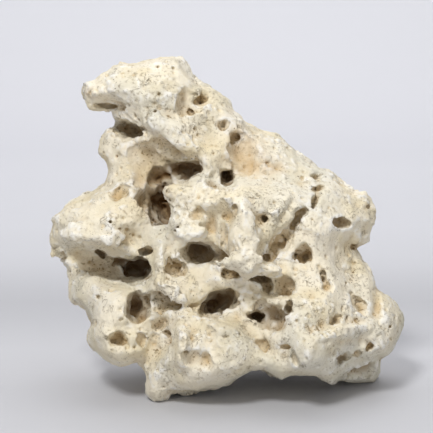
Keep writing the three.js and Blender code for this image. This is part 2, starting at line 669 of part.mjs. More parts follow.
function formAt(f, [x, y, z]) {
  return f[0] * x * x + 2 * f[1] * x * y + 2 * f[2] * x * z + 2 * f[3] * x + f[4] * y * y
    + 2 * f[5] * y * z + 2 * f[6] * y + f[7] * z * z + 2 * f[8] * z + f[9];
}

// the point where a form is least, or null where it is flat
function leastOf(f) {
  const rows = new THREE.Matrix3().set(f[0], f[1], f[2], f[1], f[4], f[5], f[2], f[5], f[7]);
  const size = f[0] + f[4] + f[7];
  if (Math.abs(rows.determinant()) < 1e-4 * size ** 3) {
    return null;
  }
  return new THREE.Vector3(-f[3], -f[6], -f[8]).applyMatrix3(rows.invert()).toArray();
}

// twice the area of a triangle over its longest side squared
function fairness(p, q, r) {
  const n = cross(minus(q, p), minus(r, p));
  const sides = [minus(q, p), minus(r, q), minus(p, r)].map((e) => dot(e, e));
  return Math.sqrt(dot(n, n)) / Math.max(...sides);
}

// a heap of edges, cheapest first
class Heap {
  constructor() {
    this.items = [];
  }

  push(item) {
    const { items } = this;
    let n = items.push(item) - 1;
    while (n > 0 && items[(n - 1) >> 1].cost > items[n].cost) {
      const up = (n - 1) >> 1;
      [items[n], items[up]] = [items[up], items[n]];
      n = up;
    }
  }

  pop() {
    const { items } = this;
    const top = items[0];
    const last = items.pop();
    if (items.length) {
      items[0] = last;
      let n = 0;
      for (;;) {
        let down = 2 * n + 1;
        if (down + 1 < items.length && items[down + 1].cost < items[down].cost) {
          down += 1;
        }
        if (down >= items.length || items[down].cost >= items[n].cost) {
          break;
        }
        [items[n], items[down]] = [items[down], items[n]];
        n = down;
      }
    }
    return top;
  }
}

// draws a mesh with fewer faces: edges close up one at a time, the least noticed first
function coarsen({ points, faces }, target) {
  const spots = points.map((p) => [...p]);
  const corners = faces.map((f) => [...f]);
  const around = spots.map(() => new Set());
  const forms = spots.map(() => new Array(10).fill(0));
  const stamps = new Uint32Array(spots.length);
  corners.forEach((face, n) => {
    const form = planeForm(...face.map((v) => spots[v]));
    face.forEach((v) => {
      around[v].add(n);
      form.forEach((value, m) => (forms[v][m] += value));
    });
  });
  const neighbours = (v) => {
    const near = new Set();
    around[v].forEach((n) => corners[n].forEach((w) => near.add(w)));
    near.delete(v);
    return near;
  };
  const heap = new Heap();
  const consider = (u, v) => {
    const form = forms[u].map((value, m) => value + forms[v][m]);
    const middle = spots[u].map((value, m) => (value + spots[v][m]) / 2);
    const span = dot(minus(spots[u], spots[v]), minus(spots[u], spots[v]));
    const best = leastOf(form);
    const near = best && dot(minus(best, middle), minus(best, middle)) < span;
    const to = near ? best : middle;
    heap.push({ cost: formAt(form, to) + 1e-3 * span * span, u, v, to, stamp: stamps[u] + stamps[v] });
  };
  const considerAll = () => corners.filter(Boolean).forEach((face) => {
    face.forEach((v, n) => {
      const w = face[(n + 1) % 3];
      if (v < w) {
        consider(v, w);
      }
    });
  });
  // which way some faces point on the whole
  const wayUp = (list) => list.reduce((sum, n) => {
    const [a, b, c] = corners[n].map((w) => spots[w]);
    return cross(minus(b, a), minus(c, a)).map((value, m) => value + sum[m]);
  }, [0, 0, 0]);
  // whether the faces round one end keep their way up and a fair shape when it moves
  const keeps = (v, other, to, way) => [...around[v]].every((n) => {
    if (corners[n].includes(other)) {
      return true;
    }
    const [a, b, c] = corners[n].map((w) => spots[w]);
    const [p, q, r] = corners[n].map((w) => (w === v ? to : spots[w]));
    const before = cross(minus(b, a), minus(c, a));
    const after = cross(minus(q, p), minus(r, p));
    const alike = dot(before, after) > 0.2 * Math.sqrt(dot(before, before) * dot(after, after));
    const thin = fairness(a, b, c) < 0.15;
    return (alike || (thin && dot(after, way) > 0))
      && fairness(p, q, r) > Math.min(0.12, 0.6 * fairness(a, b, c));
  });
  let count = corners.length;
  let countBefore = Infinity;
  while (count > target) {
    if (!heap.items.length) {
      if (count === countBefore) {
        break;
      }
      countBefore = count;
      considerAll();
    }
    const { u, v, to, stamp } = heap.pop();
    if (!around[u] || !around[v] || stamp !== stamps[u] + stamps[v]) {
      continue;
    }
    const shared = [...around[u]].filter((n) => around[v].has(n));
    const nearU = neighbours(u);
    const common = [...neighbours(v)].filter((w) => nearU.has(w));
    const way = wayUp([...around[u], ...around[v]]);
    if (shared.length !== 2 || common.length !== 2 || !keeps(u, v, to, way) || !keeps(v, u, to, way)) {
      continue;
    }
    shared.forEach((n) => {
      corners[n].forEach((w) => around[w].delete(n));
      corners[n] = null;
    });
    around[v].forEach((n) => {
      corners[n] = corners[n].map((w) => (w === v ? u : w));
      around[u].add(n);
    });
    around[v] = null;
    forms[u] = forms[u].map((value, m) => value + forms[v][m]);
    spots[u] = to;
    stamps[u] += 1;
    count -= 2;
    neighbours(u).forEach((w) => consider(u, w));
  }
  return { points: spots, faces: corners.filter(Boolean) };
}

// the geometry of a mesh, with only the points it uses
function geometryOf({ points, faces }) {
  const order = new Map();
  const positions = [];
  const index = faces.flat().map((v) => {
    if (!order.has(v)) {
      order.set(v, order.size);
      const [x, y, z] = points[v];
      positions.push(x, y, Math.abs(z) < 0.02 ? 0 : z);
    }
    return order.get(v);
  });
  const geometry = new THREE.BufferGeometry();
  geometry.setAttribute("position", new THREE.Float32BufferAttribute(positions, 3));
  geometry.setIndex(index);
  geometry.computeVertexNormals();
  return geometry;
}

function makeStone() {
  const skin = surfaceOf(stoneLattice(LATTICE));
  const standing = { points: skin.points.map(stand), faces: skin.faces };
  const coarse = coarsen(largestSkin(standing), FACE_COUNT);
  return largestSkin(meshOf(solidOf(coarse).subtract(belowGround())));
}

const material = new THREE.MeshStandardMaterial({ color: STONE_COLOUR, roughness: 0.9, metalness: 0 });
const rock = new THREE.Mesh(geometryOf(makeStone()), material);
rock.name = "rock";

const terrariumRock = new THREE.Group();
terrariumRock.name = "terrarium_rock";
terrariumRock.add(rock);

export default terrariumRock;
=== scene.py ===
import math

import bpy
import numpy as np
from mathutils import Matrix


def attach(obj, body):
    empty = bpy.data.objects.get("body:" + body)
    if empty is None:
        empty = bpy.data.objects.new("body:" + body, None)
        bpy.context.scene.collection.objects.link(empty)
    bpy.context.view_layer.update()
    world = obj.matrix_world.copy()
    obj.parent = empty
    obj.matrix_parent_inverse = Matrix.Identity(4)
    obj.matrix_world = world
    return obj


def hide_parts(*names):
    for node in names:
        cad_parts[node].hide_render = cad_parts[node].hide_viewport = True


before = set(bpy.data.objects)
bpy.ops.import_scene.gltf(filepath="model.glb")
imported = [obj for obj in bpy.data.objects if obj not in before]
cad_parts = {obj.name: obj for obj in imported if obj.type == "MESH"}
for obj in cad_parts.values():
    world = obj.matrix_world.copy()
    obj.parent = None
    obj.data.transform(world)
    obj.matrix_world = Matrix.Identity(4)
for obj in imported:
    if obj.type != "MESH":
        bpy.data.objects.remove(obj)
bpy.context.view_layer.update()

# The stone is laid out on its face in millimetres: x to the right, z up the face, y into the
# stone. The layout is then widened toward the rear and leaned back onto the ground.
MILLIMETRES = 0.001
LEAN = math.radians(10)

# the point of view: its distance, and its place over the layout
FLARE_LENGTH = 1050
FLARE_X = -5.7
FLARE_Z = 114.3

# the layout's place that stands over the ground's middle
CENTRE_X = 1.36
CENTRE_Y = 1.01

# how far in from the outline the stone rounds off, at the foot and higher up, and at the rear
FRONT_EDGE_LOW = 10
FRONT_EDGE_HIGH = 32
BACK_EDGE = 38

# scoops in the whole skin, and broad ones on the rear: depth, size, seed
SCOOPS = ((4.2, 26, 21), (3.6, 14, 31), (1.3, 7, 51))
REAR_SCOOP = (4, 42, 41)
MEAN_SCOOP = 0.35

# how softly forms run into the stone: rims of holes, pores, rear hollows, worn sills, lumps, the
# hollows of the underside, and feet
RIM_SOFTNESS = 0.8
PORE_SOFTNESS = 0.5
REAR_SOFTNESS = 1.6
SILL_SOFTNESS = 3
LUMP_SOFTNESS = 4
BELLY_SOFTNESS = 6
FOOT_SOFTNESS = 8

# round hollows of the rear: how many places are tried, and where the random draws start
REAR_HOLLOWS = 90
REAR_SEED = 40213

# where the lattice starts along each axis, and how long it is
ROOM = ((-128, 256), (-84, 168), (-16, 250))

# how near the smooth skin the broad unevenness and the fine grain reach
ROUGH_REACH = 12
GRAIN_REACH = 2.2

# step of the lattice that the skin is taken from, and triangles that are kept
FINE = 0.8
FACE_COUNT = 178000

# the edge of the stone seen from the front: x, z
OUTLINE = [
    [-35, 222], [-30, 219], [-23, 211], [-17, 205], [-9, 202], [-2, 197], [3, 192], [7, 185],
    [16, 178], [22, 173], [29, 171], [36, 167], [43, 161], [53, 155], [63, 150], [71, 145],
    [78, 139], [86, 132], [95, 125], [99, 118], [99, 111], [95, 105], [94, 99], [87, 93],
    [91, 88], [97, 80], [101, 74], [103, 67], [110, 63], [115, 57], [119, 49], [119, 42],
    [116, 33], [114, 27], [109, 21], [104, 19], [103, 11], [99, 4], [83, 3], [77, 5],
    [71, 2], [65, 5], [60, 8], [49, 9], [43, 8], [38, 5], [33, 8], [25, 12],
    [17, 11], [9, 6], [1, 3], [-10, 1], [-19, -1], [-30, -2], [-38, -1], [-45, -6],
    [-51, -2], [-52, 6], [-55, 13], [-59, 17], [-65, 15], [-70, 14], [-75, 16], [-82, 21],
    [-87, 27], [-91, 31], [-92, 38], [-90, 43], [-93, 51], [-97, 55], [-103, 57], [-105, 65],
    [-105, 75], [-109, 83], [-115, 88], [-118, 96], [-119, 101], [-117, 108], [-117, 115],
    [-111, 118], [-106, 123], [-97, 127], [-89, 131], [-81, 137], [-79, 143], [-80, 152],
    [-83, 157], [-83, 165], [-82, 171], [-78, 175], [-75, 179], [-76, 183], [-81, 185],
    [-91, 185], [-95, 191], [-97, 197], [-96, 203], [-92, 206], [-87, 207], [-83, 211],
    [-79, 213], [-75, 216], [-63, 218], [-51, 221], [-43, 222],
]

# thickness of the stone: x, z, spread, depth of the face, depth of the edge, depth of the rear
THICKNESS = [
    [-88, 198, 16, -30, -6, 26], [-60, 195, 24, -44, -8, 30], [-25, 195, 24, -36, -2, 34],
    [5, 172, 20, -30, 4, 38], [-72, 158, 18, -26, 2, 30], [-20, 155, 22, -40, 0, 40],
    [-50, 150, 18, -30, 0, 36], [35, 145, 24, -26, 6, 44], [80, 118, 22, -26, 4, 40],
    [-95, 112, 20, -40, -8, 30], [-112, 95, 14, -14, 2, 30], [-60, 112, 18, -42, 0, 44],
    [-5, 118, 20, -60, 0, 52], [28, 112, 20, -60, 0, 55], [15, 92, 16, -62, 0, 58],
    [60, 95, 20, -42, 0, 56], [-80, 82, 18, -24, 4, 42], [-45, 80, 18, -44, 0, 56],
    [0, 60, 22, -50, 0, 62], [-75, 48, 20, -44, -8, 44], [-62, 24, 16, -46, -32, 36],
    [-46, -4, 9, -42, -30, 16], [-20, 14, 18, -56, -40, 46], [35, 24, 16, -58, -42, 56],
    [70, 55, 22, -62, -4, 54], [98, 40, 18, -40, 10, 50], [60, 12, 12, -60, -44, 44],
    [92, 8, 12, -14, 18, 46], [95, 80, 18, -26, 4, 44], [110, 55, 12, -16, 8, 40],
]

# broad swells of the face and dips between them: name, centre, half size, turn, height
SWELLS = [
    ["upper left lobe", [-87, 114], [26, 17], 8, 17],
    ["left fold", [-82, 82], [30, 11], -22, -13],
    ["left fold mouth", [-104, 92], [12, 5], -10, -5],
    ["plateau", [8, 127], [40, 9], -3, 12],
    ["slope above the plateau", [6, 146], [40, 9], -8, -7],
    ["neck mass", [-34, 169], [32, 9], -35, 8],
    ["pillar", [13, 99], [9, 22], 0, 15],
    ["pillar foot", [13, 84], [15, 6], 0, 5],
    ["left strand", [1, 102], [4, 18], 22, 5],
    ["middle strand", [12, 112], [4, 18], -2, 3],
    ["right strand", [30, 110], [5, 20], -31, 7],
    ["gully beside the nodule", [-9, 104], [4, 12], 10, -5],
    ["nodule", [-25, 110], [13, 10], -10, 12],
    ["right mass", [66, 104], [19, 30], 10, 7],
    ["right gully", [80, 85], [9, 26], 8, -10],
    ["lower left mass", [-76, 50], [20, 22], 0, 12],
    ["low left knob", [-68, 20], [14, 6], 0, 6],
    ["valley beside the foot", [-47, 28], [7, 20], -12, -8],
    ["left brow", [-38, 66], [17, 7], -10, 8],
    ["lower middle mass", [-12, 26], [28, 18], -5, 14],
    ["rib of the middle mass", [-28, 31], [4.5, 18], -4, 8],
    ["dip over the low pits", [-54, 41.5], [26, 4], 8, -5],
    ["brow over the lens cave", [0, 68], [20, 4], -12, 5],
    ["under the ledge", [26, 67], [24, 9], 0, -7],
    ["ledge", [26, 79.5], [18, 4.5], -6, 5],
    ["lower right mass", [60, 42], [22, 26], 0, 11],
    ["nose", [50, 22], [8, 15], 10, 8],
    ["groove", [22, 36], [5, 20], 50, -7],
    ["head", [-56, 203], [34, 13], -4, 7],
    ["neck", [-72, 166], [16, 8], 10, -7],
    ["shoulder", [-70, 165], [12, 8], 0, 4],
    ["lower lip", [84, 25], [20, 6], 10, 6],
    ["flank groove", [101, 58], [3, 14], 10, -7],
    ["brow of the right mass", [80, 37], [20, 4], 14, 6],
    ["dip under the brow", [82, 27], [18, 3.5], 16, -4],
    ["bulge beside the nose slit", [57, 21], [8, 12], 0, 5],
    ["brow over the fold", [-84, 97], [26, 4], -14, 6],
    ["brow over the ribbed cave", [30, 60], [14, 3], -10, 5],
    ["post", [-46, 78], [4.5, 15], 0, 10],
    ["bar beside the great bowl", [-8, 140], [6, 13], 30, 6],
    ["lip over the lens cave", [-2, 44], [18, 6], -8, 4],
]

# broad hollows of the face: name, centre, half size, depth, turn, sunk
BOWLS = [
    ["great bowl", [-46, 149], [25, 15], 15, -20, 0],
    ["funnel", [-46.5, 134], [10.5, 16], 17, -18, 2],
    ["main cave", [-43.5, 126], [11.5, 18], 32, 0, 3],
    ["gallery", [-28, 145], [14, 7], 26, 6, 4],
    ["gallery mouth", [-42, 141], [12, 7], 22, 10, 4],
    ["depth of the main cave", [-41, 121], [9, 13], 32, 0, 12],
    ["fold under the upper lobe", [-84, 82], [25, 8], 11, -20, 2],
    ["valley beside the heart cave", [-42, 57], [15, 9], 9, 10, 1],
    ["valley beside the pillar", [-2, 101], [4.5, 13], 8, 14, 0],
]

# lumps that stand over a hollow: name, centre, half size, turn, sunk
LUMPS = [
    ["plateau nose", [-27, 129], [13, 9, 6], -15, 4],
    ["plateau tongue", [-30, 121], [6, 8, 9], 0, 4],
    ["lobe chin", [-96, 103], [12, 8, 6], -12, 1],
    ["lobe chin right", [-77, 102], [10, 8, 6], -8, 1],
    ["nodule chin", [-22, 104], [12, 8, 5], 0, 2],
    ["plateau edge", [40, 111], [13, 9, 4], 45, 3],
    ["heart brow", [-36, 65], [13, 8, 4], -38, 2],
    ["pillar trunk", [12.5, 101], [7.5, 8, 17], 0, 3],
    ["pillar flare", [12.5, 86], [13, 8, 6], 0, 3],
    ["ledge shelf left", [5, 82], [9, 5, 2.8], -16, 1],
    ["ledge shelf right", [30, 79], [14, 7, 3], -6, 1],
    ["tooth", [-20, 193], [3, 4, 3], 20, 2],
]

# caves, holes, slits and pits of the face: name, centre, half size, depth, turn, sunk
HOLLOWS = [
    ["eye funnel", [-2, 139], [10, 9], 7, 0, 0],
    ["eye", [1.5, 140.5], [5.6, 6.6], 24, -25, 2],
    ["crown bowl", [-25, 189], [9.5, 9.5], 10, 0, 0],
    ["crown hole", [-16, 191.5], [6.2, 4], 16, 5, 2],
    ["crown dish", [-12, 199], [6, 6], 3, 0, 0],
    ["crown bowl floor", [-22, 184], [3.5, 2.6], 10, 0, 3],
    ["crown pit", [-1, 175], [3.3, 4.2], 8, -25, 0],
    ["ochre bowl", [14, 160], [11, 15.5], 12, 8, 0],
    ["ochre pocket", [7.5, 167], [5, 5], 11, 0, 3],
    ["ochre slit", [14, 144.7], [4, 1.5], 9, 0, 2],
    ["neck gap", [-66, 173], [15, 6.5], 30, -15, 6],
    ["neck notch", [-82, 178], [10, 4], 22, 0, 0],
    ["mouth", [-74, 188], [9, 4.4], 6, -8, 0],
    ["mouth slit", [-79, 188], [8, 2.2], 13, -5, 4],
    ["shoulder pit", [-71, 131], [6.8, 5.6], 7, 0, 0],
    ["slit in the lobe", [-82.5, 89.5], [5, 3], 13, -40, 5],
    ["fold hole", [-69, 84], [9, 4], 13, -12, 8],
    ["square cave", [-59, 80], [11.4, 8.4], 30, 0, 7],
    ["arch hole", [-53, 91], [5.2, 3], 13, 0, 2],
    ["heart cave", [-58.5, 54.7], [8.8, 10.6], 24, 0, 4],
    ["low left pit", [-71, 32], [6.4, 5.4], 11, 0, 1],
    ["low left dish", [-54.7, 31.5], [5, 6.2], 7, 15, 0],
    ["crescent pit", [-38.7, 36.5], [4, 2.8], 8, -15, 1],
    ["crescent dish", [-40, 32], [6, 5], 3, 0, 0],
    ["base bowl", [-19, 18.7], [11, 7.5], 8, -5, 0],
    ["base bowl corner", [-13.3, 17.3], [5.5, 6.5], 9, 0, 0],
    ["half moon pit", [-33, 80], [8, 5.6], 10, 0, 1],
    ["bank cave", [-18.7, 90], [10.5, 8.5], 26, 0, 4],
    ["bank cave corner", [-6, 89], [11, 6], 16, -35, 3],
    ["gap under the pillar", [3.3, 76.3], [7.5, 4.2], 11, -10, 2],
    ["niche under the ledge", [23.3, 72.7], [9, 4], 17, -14, 4],
    ["niche floor", [28.5, 67], [4.2, 3.6], 9, 0, 2],
    ["niche right", [38.5, 67], [7.3, 8], 7, 0, 1],
    ["lens cave", [-4.7, 57.3], [14.4, 8.6], 27, 22, 5],
    ["lens cave nick", [-20, 55.3], [3.7, 1.7], 7, 15, 1],
    ["ribbed cave", [28.7, 48.7], [12.8, 9], 15, -25, 2],
    ["ribbed cave dark", [21.5, 47.5], [6.5, 4], 24, -10, 5],
    ["ribbed cave top", [24, 54], [5, 4.5], 10, 0, 1],
    ["ribbed cave channel", [42, 53], [3.6, 5.8], 12, -20, 2],
    ["low dish", [25.3, 28], [3.7, 5.6], 5, 20, 0],
    ["nose brow", [40.7, 27.3], [4.8, 1.8], 5, 0, 0],
    ["nose slit", [46.5, 19], [2.6, 7], 9, 16, 0],
    ["round cave", [51.7, 88], [7, 6.7], 18, 0, 2],
    ["pocket", [38, 98], [6, 16], 13, -42, 1],
    ["pocket floor", [28.5, 86.5], [5, 2.6], 12, -15, 6],
    ["crack low", [48, 112], [2.8, 8], 12, -40, 2],
    ["crack middle", [51, 117], [5.5, 3], 11, 25, 1],
    ["crack high", [60, 125], [2.6, 8], 12, -20, 1],
    ["crack top", [62, 133], [4.5, 2.2], 8, 20, 0],
    ["rough patch", [61, 141], [4, 2.5], 5, -20, 0],
    ["pillar bore", [26.3, 113], [2.4, 2.6], 11, 0, 1],
    ["pillar dimple", [6.3, 120], [2.4, 2.9], 4, 0, 0],
    ["nodule pit", [-18, 116], [5.4, 4.6], 8, 0, 0],
    ["right niche", [77, 110.5], [7.4, 4.2], 12, -8, 2],
    ["right notch", [85.3, 94], [3.3, 2.2], 8, 30, 1],
    ["slanting crack", [65.3, 74.5], [2.2, 7.5], 9, 28, 0],
    ["slanting crack end", [68.5, 67.5], [4.2, 3.2], 8, 0, 0],
    ["long pit", [89.5, 56.5], [4.8, 8.6], 11, 35, 0],
    ["wedge pit", [74, 45.5], [5.5, 2.8], 8, 22, 2],
    ["right eye", [96, 27.3], [2.8, 3.4], 7, -25, 0],
    ["right eye low", [88, 22.7], [2.9, 2.6], 6, 0, 1],
    ["lip groove", [78, 19.5], [9, 3], 10, 22, 4],
    ["hollow over the right foot", [93, 10], [13, 6.5], 9, 20, 3],
]

# feet that carry the stone: name, centre x y z, half size
FEET = [
    ["front left foot", [-46, -29, -2], [7, 8, 8]],
    ["right rear foot", [92, 25, 9], [8, 7, 7]],
    ["middle rear foot", [-26, 40, 15], [13, 11, 11]],
]

# hollows of the underside, between the feet: name, centre x y z, half size
BELLY = [
    ["left belly", [-12, 8, -1], [30, 24, 8]],
    ["right belly", [50, 8, 1], [27, 26, 9]],
    ["back belly", [35, 40, 6], [26, 26, 10]],
]

# small bores and pores of the face: centre, radius, depth
PORES = [
    [[-59.3, 192], 1.1, 4], [[-44, 196], 1.8, 6], [[-46.7, 184.7], 1.2, 4], [[-50.7, 189.3], 0.9, 3],
    [[-79, 208.7], 1.6, 4], [[-76, 212.7], 1.3, 4], [[-44.7, 214], 1.1, 3], [[-39, 217.7], 1, 3],
    [[-34.7, 213.3], 1, 3], [[-23.3, 182.7], 1.4, 5], [[-42.7, 168], 1.2, 4], [[-8, 156], 1, 3],
    [[-6, 161.3], 1.2, 3], [[22, 166.7], 1.1, 3], [[32.7, 160], 1.6, 5], [[28, 150], 1.3, 4],
    [[51.3, 140], 1.6, 4], [[52, 144], 1.2, 3], [[59, 141.3], 1.8, 5], [[62, 138], 1.3, 4],
    [[-60, 159.3], 1.7, 5], [[-72, 154.7], 1.2, 4], [[-62, 150.7], 1.4, 4], [[-64.7, 148], 1.2, 3],
    [[-90, 196.7], 1.5, 4], [[-101.3, 121.3], 1.7, 5], [[-91.3, 118.7], 1.2, 4], [[-76.7, 110.7], 1.1, 4],
    [[-64.7, 114.7], 1.3, 4], [[-65.3, 106], 1.5, 5], [[-61.3, 102], 1.3, 4], [[-71.3, 100], 1.1, 4],
    [[-72, 96], 1.2, 4], [[-65.3, 96], 1.1, 3], [[-101, 98], 1.5, 5], [[-97, 96], 1.3, 4],
    [[-94, 94], 1.4, 5], [[-99, 93], 1.2, 4], [[-113.3, 92.7], 1.4, 4], [[-108, 90.7], 1.1, 3],
    [[-31.3, 107], 1.4, 5], [[-29, 104.7], 1.2, 4], [[-33, 105], 1, 3], [[-84.7, 60.7], 1.8, 6],
    [[-76, 65.3], 2.3, 4], [[-62, 66.7], 1.2, 4], [[-55.3, 68], 1.4, 4], [[-38, 54.7], 1.5, 5],
    [[-48, 54.7], 1.3, 4], [[-42, 48], 1.1, 3], [[-65.3, 26.7], 1.4, 4], [[-60.7, 27.3], 1.2, 4],
    [[-58.7, 22.7], 1.1, 3], [[-45.3, 12], 1.2, 3], [[-19.3, 73.3], 1.2, 4], [[-12, 40], 1.2, 4],
    [[-14.7, 16], 1.3, 3], [[48, 44.7], 1.4, 4], [[58.7, 41.3], 1.1, 4], [[56.7, 36], 1.2, 4],
    [[54, 34], 1, 3], [[99, 49.3], 1.5, 5], [[112, 56], 1.1, 3], [[113, 30], 1.2, 4],
    [[108, 20.7], 1.1, 3], [[95.3, 121.3], 1.8, 4], [[29, 148], 1, 3], [[12, 84], 0.9, 3],
    [[69.3, 120], 1.1, 4], [[58, 112], 1, 3], [[47, 75.3], 1.1, 3], [[80.7, 70], 1, 3],
    [[108, 62], 1.3, 4], [[113.5, 47], 1.6, 4], [[110, 41], 1.2, 4], [[115, 38], 1.4, 4],
    [[107, 52], 1.2, 4], [[110.5, 33], 1.1, 4], [[114, 24], 1.3, 4], [[92, 8], 1.2, 3],
]

# ochre stains on the face: centre x y z, half size
STAINS = [
    ([13, -26, 158], [12, 14, 16]), ([-48, -30, 130], [12, 30, 18]), ([32, -30, 148], [16, 10, 5]),
    ([-55, -36, 156], [12, 10, 8]), ([95, -20, 121], [3, 8, 3]), ([-90, -20, 197], [3, 8, 3]),
]

# pinholes scattered over the skin: how many to a square metre, widest radius in metres, depth in radii
PINHOLES = {"Density": 14000.0, "Radius": 0.0015, "Depth": 1.2, "Seed": 7}

# patterns in the stone's colour: size in millimetres, detail, roughness, then where the pattern
# starts and ends and what it is worth there
PATTERNS = {
    "warm clouds": (34, 4, 0.55, 0.4, 0.62, 0, 1),
    "cool clouds": (60, 2, 0.55, 0.45, 0.7, 0, 1),
    "knocks": (13, 4, 0.55, 0.42, 0.6, 0, 1),
    "washes": (12, 4, 0.55, 0.3, 0.6, 0.25, 0.8),
    "stains": (8, 4, 0.55, 0.3, 0.6, 0.2, 0.7),
    "cave browns and shade": (16, 4, 0.55, 0.25, 0.7, 0.75, 1),
    "dust specks": (1.7, 3, 0.5, 0.57, 0.66, 0, 1),
    "dust patches": (24, 2, 0.55, 0.36, 0.6, 0.15, 1),
    "line patches": (15, 2, 0.55, 0.5, 0.6, 0, 1),
    "grain specks": (1, 2, 0.5, 0.67, 0.72, 0, 1),
    "grain patches": (20, 2, 0.55, 0.47, 0.6, 0, 1),
}

# the studio's sweep in metres: the floor's front and back, the arc's radius, the wall's top
SWEEP_FRONT = -3.0
SWEEP_BACK = 1.25
SWEEP_RADIUS = 0.5
SWEEP_TOP = 3.0
SWEEP_HALF_WIDTH = 3.0

# painted shade along the sweep's way back, darker near the stone and darkest in a band just behind it: metres
# from the stone, brightness
SWEEP_PAINTED_SHADE = [
    (-0.1, 0.6), (0.1, 0.66), (0.24, 0.575), (0.3, 0.62), (0.42, 0.75), (0.6, 0.83), (1.0, 0.92),
    (1.5, 0.98), (1.8, 1),
]

# area lights: name, place, aim, size in metres, power in watts
LIGHTS = [
    ("key", (-0.36, -1.0, 1.2), (0, 0, 0.08), 0.3, 15.2),
    ("top", (0.3, 0.1, 1.6), (0, 0, 0.1), 1.2, 4.5),
    ("fill", (0.6, -1.6, 0.5), (0, 0, 0.1), 1.4, 6.5),
    ("wall", (0.0, 1.0, 1.8), (0, 1.3, 0.0), 2.0, 15.2),
]
ROOM_STRENGTH = 0.36

# camera film and the width of the picture at the layout, in millimetres
SENSOR_WIDTH = 36
VIEW_WIDTH = 288.67


def hashed(i, j, k, seed):
    """Values between -1 and 1, one for each point of a lattice."""
    h = i * np.uint32(374761393) + j * np.uint32(668265263) + k * np.uint32(1103515245)
    h = h + np.uint32(seed * 1274126177 & 0xFFFFFFFF)
    h = (h ^ (h >> np.uint32(13))) * np.uint32(1274126177)
    h ^= h >> np.uint32(16)
    return (h & np.uint32(0xFFFFFF)).astype(np.float32) / np.float32(0x800000) - np.float32(1)


def cell_of(v, size):
    """The lattice cell that holds a value, and the place in it."""
    scaled = np.asarray(v, np.float32) / np.float32(size)
    whole = np.floor(scaled)
    return whole.astype(np.int64).astype(np.uint32), scaled - whole


def ease(t):
    """Smooth step from 0 to 1."""
    return t * t * t * (t * (t * 6 - 15) + 10)


def noise(x, y, z, size, seed):
    """Smooth unevenness, -1 to 1, with bumps about one size apart."""
    x, y, z = np.broadcast_arrays(x, y, z)
    (i, u), (j, v), (k, w) = (cell_of(p, size) for p in (x, y, z))
    u, v, w = ease(u), ease(v), ease(w)
    total = np.zeros(u.shape, np.float32)
    for corner in range(8):
        a, b, c = corner & 1, corner >> 1 & 1, corner >> 2
        weight = (u if a else 1 - u) * (v if b else 1 - v) * (w if c else 1 - w)
        total += weight * hashed(i + np.uint32(a), j + np.uint32(b), k + np.uint32(c), seed)
    return total


def scallop(x, y, z, size, seed):
    """Squared distance to the nearest of the points scattered one to a cell: dents with sharp rims."""
    (i, u), (j, v), (k, w) = (cell_of(p, size) for p in (x, y, z))
    best = np.full(u.shape, 0.8, np.float32)
    for n in range(27):
        a, b, c = n % 3 - 1, n // 3 % 3 - 1, n // 9 - 1
        at = [q + np.uint32(o & 0xFFFFFFFF) for q, o in ((i, a), (j, b), (k, c))]
        dx = u - a - 0.5 - 0.45 * hashed(*at, seed)
        dy = v - b - 0.5 - 0.45 * hashed(*at, seed + 1)
        dz = w - c - 0.5 - 0.45 * hashed(*at, seed + 2)
        best = np.minimum(best, dx * dx + dy * dy + dz * dz)
    return best


def outline_distance(x, z):
    """Distance to the outline, positive inside it."""
    best = np.full(x.shape, 1e9)
    inside = np.zeros(x.shape, bool)
    for (ax, az), (bx, bz) in zip(OUTLINE, OUTLINE[1:] + OUTLINE[:1]):
        ex, ez = bx - ax, bz - az
        t = np.clip(((x - ax) * ex + (z - az) * ez) / (ex * ex + ez * ez), 0, 1)
        best = np.minimum(best, np.hypot(x - ax - t * ex, z - az - t * ez))
        if az != bz:
            inside ^= ((az > z) != (bz > z)) & (x < ax + (z - az) / ez * ex)
    return np.where(inside, best, -best)


def turned(dx, dz, degrees):
    """Offset from a centre, turned by an angle in degrees."""
    t = math.radians(degrees)
    return dx * math.cos(t) + dz * math.sin(t), dz * math.cos(t) - dx * math.sin(t)


def swell_height(x, z):
    """How far the broad swells lift the face."""
    wx = x + 3.4 * noise(x, 0, z, 15, 8)
    wz = z + 3.4 * noise(x, 50, z, 15, 8)
    total = np.zeros(x.shape)
    for _, (cx, cz), (a, c), turn, height in SWELLS:
        u, v = turned(wx - cx, wz - cz, turn)
        total += height * np.exp(-0.7 * ((u / a) ** 2 + (v / c) ** 2) ** 2)
    return total


def columns(x, z):
    """What the stone is like at places of the face: face, edge and rear depths, nearness of the edge."""
    sums = [np.zeros(x.shape) for _ in range(3)]
    weights = np.zeros(x.shape)
    for ax, az, spread, *depths in THICKNESS:
        weight = np.exp(-((x - ax) ** 2 + (z - az) ** 2) / (2 * spread * spread)) + 1e-9
        weights += weight
        for total, depth in zip(sums, depths):
            total += weight * depth
    face, edge, rear = (total / weights for total in sums)
    inside = outline_distance(x, z)
    t = np.clip((z - 20) / 70, 0, 1)
    front_edge = FRONT_EDGE_LOW + (FRONT_EDGE_HIGH - FRONT_EDGE_LOW) * t * t * (3 - 2 * t)
    face = np.minimum(face - swell_height(x, z), edge - 6)
    return face, edge, rear, 1 - np.minimum(inside / front_edge, 1), 1 - np.minimum(inside / BACK_EDGE, 1)


def face_depth(x, z):
    """Depth of the face where the stone has no bumps or hollows."""
    face, edge, _, near, _ = (float(v[0]) for v in columns(np.array([float(x)]), np.array([float(z)])))
    return edge + (face - edge) * math.sqrt(max(0, 1 - min(1, near) ** 2))


def body(column, y):
    """The smooth body, negative inside the stone."""
    face, edge, rear, front_near, back_near = column
    out = y - edge
    face_reach, rear_reach = edge - face, rear - edge
    t = ease(np.clip(out / 20 + 0.5, 0, 1))
    near = front_near + (back_near - front_near) * t
    scale = np.minimum(face_reach + (rear_reach - face_reach) * t, 40)
    g = out / np.where(out < 0, face_reach, rear_reach)
    return (np.sqrt(g * g + near * near) - 1) * scale


